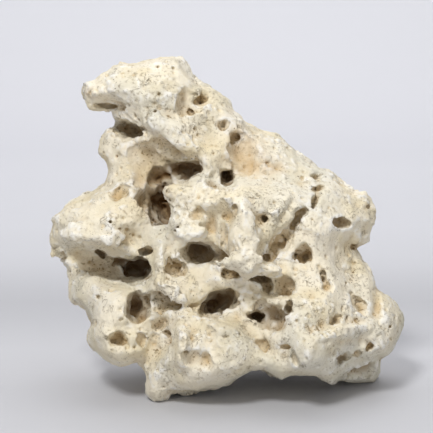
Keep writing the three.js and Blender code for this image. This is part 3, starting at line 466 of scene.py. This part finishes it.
def roughness(x, y, z, edge):
    """Unevenness of the whole skin, with broad knobs on the rear."""
    wx = x + 4 * noise(x, y, z, 16, 5)
    wz = z + 4 * noise(x, y, z, 16, 6)
    rear = ease(np.clip((y - edge - 4) / 24, 0, 1))
    rough = 1.8 * noise(x, y, z, 24, 1) + noise(x, y, z, 9, 2) + 7 * rear * noise(x, y, z, 34, 7)
    for depth, size, seed in SCOOPS:
        rough -= depth * (scallop(wx, y, wz, size, seed) - MEAN_SCOOP)
    depth, size, seed = REAR_SCOOP
    return rough - depth * rear * (scallop(wx, y, wz, size, seed) - MEAN_SCOOP)


def doubled(values, axis):
    """Values on a lattice twice as fine along one axis."""
    values = np.moveaxis(values, axis, 0)
    out = np.empty((2 * len(values) - 1, *values.shape[1:]), np.float32)
    out[::2] = values
    out[1::2] = (values[:-1] + values[1:]) / 2
    return np.moveaxis(out, 0, axis)


def smooth_max(a, b, k):
    """The larger value, rounded over where the two are close."""
    return np.maximum(a, b) + np.maximum(k - np.abs(a - b), 0) ** 2 / (4 * k)


class Lattice:
    """Values on a lattice of points that covers the stone."""

    def __init__(self, step):
        coarse = 2 * step
        axes = [np.arange(low, low + length, coarse, dtype=np.float32) for low, length in ROOM]
        x, z = np.meshgrid(axes[0], axes[2], indexing="ij")
        column = [v.astype(np.float32)[:, None, :] for v in columns(x.astype(float), z.astype(float))]
        values = body(column, axes[1][None, :, None]).astype(np.float32)
        self.plain = values.copy()
        at = np.nonzero(np.abs(values) < ROUGH_REACH)
        edge = np.broadcast_to(column[1], values.shape)[at]
        values[at] += roughness(*(a[n] for a, n in zip(axes, at)), edge)
        for axis in range(3):
            values = doubled(values, axis)
        self.coarse, self.step, self.values = coarse, step, values
        self.low = tuple(low for low, _ in ROOM)
        self.axes = [low + step * np.arange(n, dtype=np.float32) for low, n in zip(self.low, values.shape)]

    def blend(self, start, end, shape, softness, cut=True):
        """Cuts a shape out of the stone in a box, or joins it on."""
        at, grid = [], []
        for a, low, high in zip(self.axes, start, end):
            first, last = np.searchsorted(a, low), np.searchsorted(a, high)
            at.append(slice(first, last))
            grid.append(a[first:last])
        x, y, z = np.meshgrid(*grid, indexing="ij")
        if x.size == 0:
            return
        sign = 1 if cut else -1
        old = self.values[tuple(at)]
        self.values[tuple(at)] = sign * smooth_max(sign * old, -shape(x, y, z), softness)


def face_shape(centre, half, turn, wobble, opened):
    """A hollow or lump as a field: negative inside its wobbly ellipsoid."""
    (cx, cy, cz), (a, b, c) = centre, half
    size = max(3, min(a, c) * 1.3)

    def shape(x, y, z):
        wx = x + wobble * (noise(x, y, z, size, 11) + 0.5 * noise(x, y, z, size * 0.4, 13))
        wz = z + wobble * (noise(x, y, z, size, 12) + 0.5 * noise(x, y, z, size * 0.4, 14))
        u, v = turned(wx - cx, wz - cz, turn)
        w = (y - cy) / b
        if opened:
            w = np.where(y < cy, (y - cy) * 0.35 / min(a, c), w)
        return (np.sqrt((u / a) ** 2 + (v / c) ** 2 + w * w) - 1) * min(a, b, c)

    return shape


def carve(lattice, centre, half, depth, turn=0, sunk=0, wobble=0.32, softness=RIM_SOFTNESS):
    """Cuts a hollow into the face, open toward the front."""
    (x, z), (a, c) = centre, half
    y = face_depth(x, z) + sunk
    reach = max(a, c) + 5
    shape = face_shape((x, y, z), (a, depth, c), turn, wobble * min(a, c), True)
    lattice.blend((x - reach, y - depth - 12, z - reach), (x + reach, y + depth + 6, z + reach), shape,
                  softness)


def wear_sill(lattice, centre, half, depth, *_):
    """The worn sill below a deep hole: its lower edge slopes out to the face."""
    (x, z), (a, c) = centre, half
    size = min(a, c)
    if size < 4.5 or depth < 12:
        return
    low = z - 0.45 * c
    y = face_depth(x, low) + 1
    reach = max(a, c) + 6
    shape = face_shape((x, y, low), (0.9 * a, 0.5 * size, 0.8 * c), 0, 0.2 * size, True)
    lattice.blend((x - reach, y - depth - 12, low - reach), (x + reach, y + depth + 6, low + reach), shape,
                  SILL_SOFTNESS)


def pile(lattice, centre, half, turn, sunk):
    """Joins a lump onto the face."""
    (x, z), (a, b, c) = centre, half
    y = face_depth(x, z) + sunk
    reach = max(a, c) + 8
    shape = face_shape((x, y, z), half, turn, min(3.2, 0.5 * c), False)
    lattice.blend((x - reach, y - b - 8, z - reach), (x + reach, y + b + 8, z + reach), shape, LUMP_SOFTNESS,
                  cut=False)


def whole(lattice, centre, half, wobble, softness, cut):
    """Cuts or joins a whole rounded form, wherever it lies in the stone."""
    start = [v - h - 8 for v, h in zip(centre, half)]
    end = [v + h + 8 for v, h in zip(centre, half)]
    lattice.blend(start, end, face_shape(centre, half, 0, wobble, False), softness, cut)


def meet(start, direction):
    """First place where a line into the stone meets the smooth body."""
    t = np.arange(0, 320, 1.5)
    x, y, z = (s + d * t for s, d in zip(start, direction))
    hit = np.nonzero(body(columns(x, z), y) < 0)[0]
    return [float(v[hit[0]]) for v in (x, y, z)] if len(hit) else None


def rear_hollows():
    """Round holes all over the rear and flanks, placed by rule from a fixed seed."""
    seed = REAR_SEED

    def draw():
        nonlocal seed
        seed = seed * 16807 % 2147483647
        return seed / 2147483647

    for _ in range(REAR_HOLLOWS):
        bearing = math.pi * (0.04 + 0.92 * draw())
        rise = -0.15 + 1.3 * draw() ** 1.5
        target = (-50 + 110 * draw(), 8 + 10 * draw(), 40 + 130 * draw())
        half = 2 + 9 * draw() ** 2
        depth = half * (0.8 + 2 * draw())
        stretch = 0.6 + 0.4 * draw()
        away = (math.cos(bearing) * math.cos(rise), math.sin(bearing) * math.cos(rise), math.sin(rise))
        centre = meet([t + 250 * a for t, a in zip(target, away)], [-a for a in away])
        if centre and centre[1] > 10 + half and centre[2] > 16:
            yield centre, away, half, depth, stretch


def carve_rear(lattice, centre, away, half, depth, stretch):
    """Cuts a round hollow along a line from outside."""
    reach = max(half, depth) + 6
    size = max(3, half * 1.3)

    def shape(x, y, z):
        dx = x - centre[0] + 0.3 * half * noise(x, y, z, size, 11)
        dy = y - centre[1] + 0.3 * half * noise(x, y, z, size, 12)
        dz = (z - centre[2]) / stretch
        along = dx * away[0] + dy * away[1] + dz * away[2]
        across = np.maximum(0, dx * dx + dy * dy + dz * dz - along * along)
        return (np.sqrt(across / half ** 2 + (along / depth) ** 2) - 1) * min(half, depth)

    lattice.blend([v - reach for v in centre], [v + reach for v in centre], shape, REAR_SOFTNESS)


def fine_skin(lattice):
    """Grain, dents and cracks of the broken and dissolved skin."""
    at = np.nonzero(np.abs(lattice.values) < GRAIN_REACH)
    x, y, z = (a[n] for a, n in zip(lattice.axes, at))
    patch = np.clip(0.65 + 0.9 * noise(x, y, z, 19, 71), 0.2, 1)
    grain = 0.55 * noise(x, y, z, 3.4, 72) + 0.4 * noise(x, y, z, 1.8, 73)
    near = scallop(x, y, z, 4.6, 74)
    dents = 9 * np.maximum(0, 0.13 - near) - 1.3 * (near - MEAN_SCOOP)
    crack = np.clip(1 - np.abs(noise(x, y, z, 13, 75)) / 0.05, 0, 1)
    lattice.values[at] += patch * (grain + dents + 0.9 * crack)


def stone_lattice():
    """The whole stone as values on a lattice: body, hollows and lumps, feet, skin, and the flat ground."""
    lattice = Lattice(FINE)
    for _, *row in BOWLS:
        carve(lattice, *row)
    for _, *row in LUMPS:
        pile(lattice, *row)
    for row in rear_hollows():
        carve_rear(lattice, *row)
    for _, *row in HOLLOWS:
        wear_sill(lattice, *row)
    for _, *row in HOLLOWS:
        carve(lattice, *row)
    for _, centre, half in BELLY:
        whole(lattice, centre, half, 3, BELLY_SOFTNESS, True)
    for _, centre, half in FEET:
        whole(lattice, centre, half, 2, FOOT_SOFTNESS, False)
    fine_skin(lattice)
    for centre, radius, depth in PORES:
        carve(lattice, centre, (radius, radius), depth, softness=PORE_SOFTNESS, wobble=0.4)
    y, z = lattice.axes[1][:, None], lattice.axes[2]
    tall = FLARE_Z + (z - FLARE_Z) * (1 + y / FLARE_LENGTH)
    lattice.values = np.maximum(lattice.values, y * math.sin(LEAN) - tall * math.cos(LEAN))
    return lattice


def surface(lattice):
    """One point in each lattice cell that the surface crosses, and a quad round each crossed line."""
    v = lattice.values
    solid = v < 0
    cells = tuple(n - 1 for n in v.shape)
    corners = [(c & 1, c >> 1 & 1, c >> 2) for c in range(8)]

    def part(array, corner):
        return array[tuple(slice(o, o + n) for o, n in zip(corner, cells))]

    count = sum(part(solid, c).astype(np.uint8) for c in corners)
    at = np.nonzero((count > 0) & (count < 8))
    near = [part(v, c)[at] for c in corners]
    total = np.zeros((len(at[0]), 3), np.float32)
    crossed = np.zeros(len(at[0]), np.float32)
    for a in range(8):
        for axis in range(3):
            b = a | 1 << axis
            if b == a:
                continue
            cut = (near[a] < 0) != (near[b] < 0)
            t = np.where(cut, near[a] / np.where(cut, near[a] - near[b], 1), 0)
            place = np.tile(np.array(corners[a], np.float32), (len(t), 1))
            place[:, axis] += t
            total += place * cut[:, None]
            crossed += cut
    points = np.stack(at, 1) + total / crossed[:, None]
    points = points * lattice.step + np.array(lattice.low)
    index = np.full(cells, -1, np.int32)
    index[at] = np.arange(len(at[0]))
    quads = []
    for axis in range(3):
        p, q = (axis + 1) % 3, (axis + 2) % 3
        inner = [slice(1, n - 1) for n in v.shape]
        inner[axis] = slice(0, v.shape[axis] - 1)
        here = solid[tuple(inner)]
        inner[axis] = slice(1, v.shape[axis])
        there = solid[tuple(inner)]
        edges = np.stack(np.nonzero(here != there), 1)
        out = here[tuple(edges.T)]
        edges[:, [p, q]] += 1
        ring = []
        for dp, dq in ((-1, -1), (0, -1), (0, 0), (-1, 0)):
            cell = edges.copy()
            cell[:, p] += dp
            cell[:, q] += dq
            ring.append(index[tuple(cell.T)])
        ring = np.stack(ring, 1)
        quads.append(np.where(out[:, None], ring, ring[:, ::-1]))
    return points, np.concatenate(quads)


def largest_skin(points, quads):
    """Only the largest connected skin."""
    label = np.arange(len(points))
    a, b = quads.ravel(), np.roll(quads, 1, axis=1).ravel()
    while (label[a] != label[b]).any():
        one, other = label[a], label[b]
        low = np.minimum(one, other)
        np.minimum.at(label, one, low)
        np.minimum.at(label, other, low)
        while (label[label] != label).any():
            label = label[label]
    main = np.bincount(label).argmax()
    keep = label == main
    order = np.cumsum(keep) - 1
    return points[keep], order[quads[keep[quads[:, 0]]]]


def stand(points):
    """The layout's place on the ground, in metres."""
    x, y, z = points.T
    flare = 1 + y / FLARE_LENGTH
    wide = FLARE_X + (x - FLARE_X) * flare
    tall = FLARE_Z + (z - FLARE_Z) * flare
    deep = y * math.cos(LEAN) + tall * math.sin(LEAN)
    high = tall * math.cos(LEAN) - y * math.sin(LEAN)
    return np.stack([wide - CENTRE_X, deep - CENTRE_Y, high], 1) * MILLIMETRES


def lay_out(places):
    """The layout coordinates of places on the standing stone."""
    wide, deep, high = places.T / MILLIMETRES
    wide, deep = wide + CENTRE_X, deep + CENTRE_Y
    y = deep * math.cos(LEAN) - high * math.sin(LEAN)
    tall = deep * math.sin(LEAN) + high * math.cos(LEAN)
    flare = 1 + y / FLARE_LENGTH
    return np.stack([FLARE_X + (wide - FLARE_X) / flare, y, FLARE_Z + (tall - FLARE_Z) / flare], 1)


def mesh_from(points, quads, name):
    mesh = bpy.data.meshes.new(name)
    mesh.vertices.add(len(points))
    mesh.vertices.foreach_set("co", points.astype(np.float32).ravel())
    mesh.loops.add(quads.size)
    mesh.loops.foreach_set("vertex_index", quads.astype(np.int32).ravel())
    mesh.polygons.add(len(quads))
    mesh.polygons.foreach_set("loop_start", np.arange(0, quads.size, 4, dtype=np.int32))
    mesh.update(calc_edges=True)
    return mesh


def sampled(values, step, low, points):
    """Values of a lattice at points of the layout."""
    place = (points - np.array(low)) / step
    place = np.clip(place, 0, np.array(values.shape) - 1.001)
    whole_part = place.astype(int)
    rest = place - whole_part
    out = np.zeros(len(points))
    for c in range(8):
        o = np.array([c & 1, c >> 1 & 1, c >> 2])
        weight = np.prod(np.where(o, rest, 1 - rest), axis=1)
        out += weight * values[tuple((whole_part + o).T)]
    return out


def blurred(values, radius):
    """Mean over a cube of lattice points."""
    for axis in range(3):
        v = np.moveaxis(values, axis, 0)
        v = np.pad(v, ((radius + 1, radius), (0, 0), (0, 0)), mode="edge").cumsum(axis=0, dtype=np.float64)
        v = (v[2 * radius + 1:] - v[:-2 * radius - 1]) / (2 * radius + 1)
        values = np.moveaxis(v, 0, axis)
    return values


def srgb(text):
    """A colour written as an sRGB hex code, as the linear value that a socket holds."""
    parts = [int(text[n:n + 2], 16) / 255 for n in (1, 3, 5)]
    return (*(p / 12.92 if p <= 0.04045 else ((p + 0.055) / 1.055) ** 2.4 for p in parts), 1)


def add(tree, kind, inputs=(), **settings):
    """Adds a node, sets its settings, and fills its inputs with values or links."""
    node = tree.nodes.new(kind)
    for key, value in settings.items():
        setattr(node, key, value)
    for key, value in dict(inputs).items():
        if isinstance(value, bpy.types.NodeSocket):
            tree.links.new(value, node.inputs[key])
        else:
            node.inputs[key].default_value = value
    return node


def pore_nodes():
    """Small round pores pressed into a mesh: each point near a scattered centre sinks along its normal."""
    tree = bpy.data.node_groups.new("pores", "GeometryNodeTree")
    face = tree.interface
    face.new_socket("Geometry", in_out="INPUT", socket_type="NodeSocketGeometry")
    for name, kind in (("Density", "Float"), ("Radius", "Float"), ("Depth", "Float"), ("Seed", "Int"),
                       ("Material", "Material")):
        face.new_socket(name, in_out="INPUT", socket_type="NodeSocket" + kind)
    face.new_socket("Geometry", in_out="OUTPUT", socket_type="NodeSocketGeometry")
    given = tree.nodes.new("NodeGroupInput").outputs
    place = add(tree, "GeometryNodeInputPosition").outputs[0]
    patches = add(tree, "ShaderNodeTexNoise", {"Vector": place, "Scale": 45.0, "Detail": 2.0})
    spread = add(tree, "ShaderNodeMapRange", {0: patches.outputs[0], 1: 0.42, 2: 0.62, 3: 0.15, 4: 1.0})
    density = add(tree, "ShaderNodeMath", {0: given["Density"], 1: spread.outputs[0]}, operation="MULTIPLY")
    points = add(tree, "GeometryNodeDistributePointsOnFaces",
                 {"Mesh": given["Geometry"], "Density": density.outputs[0], "Seed": given["Seed"]})
    drawn = add(tree, "FunctionNodeRandomValue", {"Seed": given["Seed"]}, data_type="FLOAT")
    drawn.inputs[2].default_value, drawn.inputs[3].default_value = 0.35, 1.0
    shaped = add(tree, "ShaderNodeMath", {0: drawn.outputs[1], 1: 2.0}, operation="POWER")
    size = add(tree, "ShaderNodeMath", {0: shaped.outputs[0], 1: given["Radius"]}, operation="MULTIPLY")
    size = add(tree, "ShaderNodeMath", {0: size.outputs[0], 1: 0.0004}, operation="ADD")
    kept = add(tree, "GeometryNodeStoreNamedAttribute",
               {"Geometry": points.outputs["Points"], "Name": "pore", "Value": size.outputs[0]},
               data_type="FLOAT", domain="POINT")
    nearest = add(tree, "GeometryNodeSampleNearest", {"Geometry": kept.outputs[0]}, domain="POINT")
    centre = add(tree, "GeometryNodeSampleIndex", {"Geometry": kept.outputs[0], "Index": nearest.outputs[0]},
                 data_type="FLOAT_VECTOR", domain="POINT")
    tree.links.new(place, centre.inputs["Value"])
    pore = add(tree, "GeometryNodeInputNamedAttribute", {"Name": "pore"}, data_type="FLOAT")
    radius = add(tree, "GeometryNodeSampleIndex", {"Geometry": kept.outputs[0], "Index": nearest.outputs[0]},
                 data_type="FLOAT", domain="POINT")
    tree.links.new(pore.outputs[0], radius.inputs["Value"])
    gap = add(tree, "ShaderNodeVectorMath", {0: place, 1: centre.outputs[0]}, operation="DISTANCE")
    ratio = add(tree, "ShaderNodeMath", {0: gap.outputs["Value"], 1: radius.outputs[0]}, operation="DIVIDE")
    fall = add(tree, "ShaderNodeMapRange", {0: ratio.outputs[0], 1: 0.55, 2: 1.1, 3: 1.0, 4: 0.0},
               interpolation_type="SMOOTHSTEP")
    amount = add(tree, "ShaderNodeMath", {0: fall.outputs[0], 1: radius.outputs[0]}, operation="MULTIPLY")
    amount = add(tree, "ShaderNodeMath", {0: amount.outputs[0], 1: given["Depth"]}, operation="MULTIPLY")
    amount = add(tree, "ShaderNodeMath", {0: amount.outputs[0], 1: -1.0}, operation="MULTIPLY")
    normal = add(tree, "GeometryNodeInputNormal")
    offset = add(tree, "ShaderNodeVectorMath", {0: normal.outputs[0], "Scale": amount.outputs[0]},
                 operation="SCALE")
    sunk = add(tree, "GeometryNodeSetPosition", {"Geometry": given["Geometry"], "Offset": offset.outputs[0]})
    realized = add(tree, "GeometryNodeRealizeInstances", {"Geometry": sunk.outputs[0]})
    dressed = add(tree, "GeometryNodeSetMaterial",
                  {"Geometry": realized.outputs[0], "Material": given["Material"]})
    out = tree.nodes.new("NodeGroupOutput")
    tree.links.new(dressed.outputs[0], out.inputs[0])
    return tree


def use_nodes(obj, tree, values):
    """Runs a node tree on an object with its named inputs set."""
    modifier = obj.modifiers.new(tree.name, "NODES")
    modifier.node_group = tree
    sockets = {s.name: s.identifier for s in tree.interface.items_tree if s.in_out == "INPUT"}
    for name, value in values.items():
        modifier[sockets[name]] = value


def plain_mesh(obj, name):
    """The object's evaluated shape as an ordinary mesh, with no modifiers left."""
    graph = bpy.context.evaluated_depsgraph_get()
    mesh = bpy.data.meshes.new_from_object(obj.evaluated_get(graph))
    mesh.name = name
    old = obj.data
    obj.modifiers.clear()
    obj.data = mesh
    bpy.data.meshes.remove(old)
    return mesh


def limestone():
    """Weathered limestone: cream skin, white bruised crests, ochre and brown dust in the hollows, brown grime
    and painted shade deep in the caves.
    """
    material = bpy.data.materials.new("limestone")
    material.use_nodes = True
    tree = material.node_tree
    tree.nodes.clear()
    place = add(tree, "ShaderNodeTexCoord").outputs["Object"]
    scaled = add(tree, "ShaderNodeVectorMath", {0: place, "Scale": 1 / MILLIMETRES},
                 operation="SCALE").outputs[0]
    wear_and_shade = {name: add(tree, "ShaderNodeAttribute", attribute_name=name).outputs["Fac"]
            for name in ("crest", "hollow", "deep", "ochre")}
    pattern = {}
    for name, (size, detail, rough, low, high, at_low, at_high) in PATTERNS.items():
        spots = add(tree, "ShaderNodeTexNoise", {"Vector": scaled, "Scale": 1 / size, "Detail": detail,
                                                 "Roughness": rough})
        pattern[name] = add(tree, "ShaderNodeMapRange",
                            {0: spots.outputs["Fac"], 1: low, 2: high, 3: at_low, 4: at_high},
                            interpolation_type="SMOOTHSTEP").outputs[0]
    crest = add(tree, "ShaderNodeMapRange", {0: wear_and_shade["crest"], 1: 0, 2: 0.5, 3: 0.25, 4: 1},
                interpolation_type="SMOOTHSTEP").outputs[0]
    shelter = add(tree, "ShaderNodeMapRange", {0: wear_and_shade["hollow"], 1: 0, 2: 0.5, 3: 0.36, 4: 0.85},
                  interpolation_type="SMOOTHSTEP").outputs[0]
    # brown dust in the finest pits, thick in patches
    dust = add(tree, "ShaderNodeMath", {0: pattern["dust specks"], 1: pattern["dust patches"]},
               operation="MULTIPLY").outputs[0]
    # short wavy hairlines where a soft pattern crosses its middle value
    wave = add(tree, "ShaderNodeTexNoise", {"Vector": scaled, "Scale": 1 / 9, "Detail": 3, "Roughness": 0.6,
                                            "Distortion": 0.6}).outputs["Fac"]
    wave = add(tree, "ShaderNodeMath", {0: wave, 1: 0.5}, operation="SUBTRACT").outputs[0]
    wave = add(tree, "ShaderNodeMath", {0: wave}, operation="ABSOLUTE").outputs[0]
    line = add(tree, "ShaderNodeMapRange", {0: wave, 1: 0.004, 2: 0.011, 3: 1, 4: 0},
               interpolation_type="SMOOTHSTEP").outputs[0]
    hairline = add(tree, "ShaderNodeMath", {0: line, 1: pattern["line patches"]},
                   operation="MULTIPLY").outputs[0]
    # layers over the cream skin, each with the fields that are multiplied to its amount: a warmer and a
    # cooler cream in clouds; chalky white where crests have been knocked; ochre washed into the hollows
    # and stains of it; brown grime with painted shade far inside the caves, less on floors that face up;
    # dust, dirt in the hairlines, and scattered dark grains
    layers = [
        ("#E3D6B7", [pattern["warm clouds"]]),
        ("#D3D1C3", [pattern["cool clouds"], 0.6]),
        ("#F1EDE3", [pattern["knocks"], crest, 0.85]),
        ("#C4A878", [wear_and_shade["hollow"], pattern["washes"]]),
        ("#CBA873", [wear_and_shade["ochre"], pattern["stains"]]),
        # painted shade with brown grime: the cave insides get darker the deeper they go, less on floors that
        # face up
        ("#62421C", [wear_and_shade["deep"], pattern["cave browns and shade"]]),
        ("#8E744A", [dust, shelter]),
        ("#7E6744", [hairline, 0.5]),
        ("#4C3D28", [pattern["grain specks"], pattern["grain patches"]]),
    ]
    colour = srgb("#EEE4CD")
    for code, (amount, *others) in layers:
        for field in others:
            amount = add(tree, "ShaderNodeMath", {0: amount, 1: field}, operation="MULTIPLY").outputs[0]
        colour = add(tree, "ShaderNodeMix", {0: amount, 6: colour, 7: srgb(code)},
                     data_type="RGBA").outputs[2]
    # fine grit, with the dust and the hairlines sunk into it
    grit = add(tree, "ShaderNodeTexNoise", {"Vector": scaled, "Scale": 1 / 2.4, "Detail": 6,
                                            "Roughness": 0.65}).outputs["Fac"]
    for field, depth in ((dust, -0.35), (hairline, -0.5)):
        grit = add(tree, "ShaderNodeMath", {0: field, 1: depth, 2: grit}, operation="MULTIPLY_ADD").outputs[0]
    bump = add(tree, "ShaderNodeBump", {"Strength": 0.85, "Distance": 0.0014, "Height": grit})
    shader = add(tree, "ShaderNodeBsdfPrincipled", {"Base Color": colour, "Roughness": 0.88,
                                                    "Specular IOR Level": 0.25, "Normal": bump.outputs[0]})
    add(tree, "ShaderNodeOutputMaterial", {0: shader.outputs[0]})
    return material


def make_rock():
    """The dressed stone: skin, pinholes, thinned mesh, material, wear and painted shade."""
    lattice = stone_lattice()
    points, quads = largest_skin(*surface(lattice))
    rock = bpy.data.objects.new("limestone_rock", mesh_from(stand(points), quads, "limestone_rock"))
    bpy.context.scene.collection.objects.link(rock)
    material = limestone()
    use_nodes(rock, pore_nodes(), {**PINHOLES, "Material": material})
    thin = rock.modifiers.new("thin", "DECIMATE")
    thin.ratio = min(1.0, FACE_COUNT / (2 * len(quads)))
    mesh = plain_mesh(rock, "limestone_rock")
    mesh.materials.clear()
    mesh.materials.append(material)
    mesh.polygons.foreach_set("material_index", np.zeros(len(mesh.polygons), np.int32))
    mesh.polygons.foreach_set("use_smooth", np.ones(len(mesh.polygons), bool))
    add_wear_and_painted_shade(mesh, lattice)
    return rock


def add_wear_and_painted_shade(mesh, lattice):
    """Stores how worn each point is, from 0 to 1: crest, hollow, deep inside a cave (brown grime and painted
    shade, less on floors that face up), ochre stain.
    """
    places = np.empty(3 * len(mesh.vertices), np.float32)
    mesh.vertices.foreach_get("co", places)
    points = lay_out(places.reshape(-1, 3).astype(float))
    solid = (lattice.values[::2, ::2, ::2] < 0).astype(np.float32)
    near = sampled(blurred(solid, 1), lattice.coarse, lattice.low, points)
    wide = sampled(blurred(solid, 4), lattice.coarse, lattice.low, points)
    below = -sampled(lattice.plain, lattice.coarse, lattice.low, points)
    facing = np.empty(3 * len(mesh.vertices), np.float32)
    mesh.vertices.foreach_get("normal", facing)
    floor = np.clip(facing[2::3], 0, 1)
    sheltered = np.clip((wide - 0.35) / 0.3, 0, 1)
    wear_and_shade = {
        "crest": np.clip((0.46 - near) / 0.14, 0, 1),
        "hollow": np.clip((wide - 0.5) / 0.25, 0, 1),
        # deep: brown grime and painted shade far inside the caves, lighter where the floor faces up as if lit
        # from above
        "deep": sheltered * np.clip((below - 8) / 18, 0, 1) * (1 - 0.4 * floor),
        "ochre": sum(np.exp(-(((points - centre) / half) ** 2).sum(1)) for centre, half in STAINS),
    }
    for name, values in wear_and_shade.items():
        attribute = mesh.attributes.new(name, "FLOAT", "POINT")
        attribute.data.foreach_set("value", values.astype(np.float32))


def studio():
    """A pale sweep under and behind the stone, with painted shade along its way back, lit softly from above
    and the left.
    """
    floor = [(y, 0.0, y) for y in (SWEEP_FRONT, 0.0, *np.linspace(0.1, 1.2, 23))]
    arc = [(SWEEP_RADIUS * math.sin(t), SWEEP_RADIUS * (1 - math.cos(t)), SWEEP_RADIUS * t)
           for t in np.linspace(0, math.pi / 2, 25)]
    curve = [(SWEEP_BACK + deep, high, SWEEP_BACK + way) for deep, high, way in arc]
    profile = [*floor, *curve, (SWEEP_BACK + SWEEP_RADIUS, SWEEP_TOP, SWEEP_BACK + SWEEP_TOP)]
    # painted shade: how much darker the paper is painted at each row of the sweep
    painted_shade_levels = np.interp([way for _, _, way in profile], *zip(*SWEEP_PAINTED_SHADE))
    points = np.array([(x, y, z) for y, z, _ in profile for x in (-SWEEP_HALF_WIDTH, SWEEP_HALF_WIDTH)])
    quads = np.array([(2 * n, 2 * n + 1, 2 * n + 3, 2 * n + 2) for n in range(len(profile) - 1)])
    mesh = mesh_from(points, quads, "paper")
    mesh.polygons.foreach_set("use_smooth", np.ones(len(mesh.polygons), bool))
    mesh.attributes.new("painted_shade", "FLOAT", "POINT").data.foreach_set("value", np.repeat(painted_shade_levels, 2))
    sweep = bpy.data.objects.new("paper", mesh)
    bpy.context.scene.collection.objects.link(sweep)
    mesh.materials.append(paper())
    for name, place, aim, size, power in LIGHTS:
        light = bpy.data.lights.new(name, "AREA")
        light.energy, light.size = power, size
        lamp = bpy.data.objects.new(name, light)
        lamp.location = place
        way = np.array(aim) - np.array(place)
        level = math.hypot(way[0], way[1])
        lamp.rotation_euler = (math.atan2(level, -way[2]), 0, math.atan2(-way[0], way[1]))
        bpy.context.scene.collection.objects.link(lamp)
    world = bpy.data.worlds.new("room")
    bpy.context.scene.world = world
    world.use_nodes = True
    world.node_tree.nodes["Background"].inputs["Color"].default_value = srgb("#E8EAF0")
    world.node_tree.nodes["Background"].inputs["Strength"].default_value = ROOM_STRENGTH


def paper():
    """Matte coated paper: an even cool grey without shine, darkened by painted shade where its painted_shade
    attribute says.
    """
    material = bpy.data.materials.new("paper")
    material.use_nodes = True
    tree = material.node_tree
    shader = tree.nodes["Principled BSDF"]
    # painted shade scales the paper colour
    painted_shade = add(tree, "ShaderNodeAttribute", attribute_name="painted_shade").outputs["Fac"]
    colour = add(tree, "ShaderNodeVectorMath", {0: srgb("#EBEBEF")[:3], "Scale": painted_shade}, operation="SCALE")
    tree.links.new(colour.outputs[0], shader.inputs["Base Color"])
    shader.inputs["Roughness"].default_value = 0.7
    return material


def camera():
    """The photograph's point of view: ten degrees above level, a little over a metre away."""
    data = bpy.data.cameras.new("camera")
    data.sensor_width = SENSOR_WIDTH
    data.lens = SENSOR_WIDTH * FLARE_LENGTH / VIEW_WIDTH
    data.clip_start, data.clip_end = 0.05, 20
    seat = bpy.data.objects.new("camera", data)
    back = np.array([[FLARE_X, -FLARE_LENGTH, FLARE_Z]])
    seat.location = stand(back)[0]
    seat.rotation_euler = (math.pi / 2 - LEAN, 0, 0)
    bpy.context.scene.collection.objects.link(seat)
    bpy.context.scene.camera = seat


rock = make_rock()
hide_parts("rock")
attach(rock, "root")
studio()
camera()
bpy.context.scene.view_settings.view_transform = "Standard"
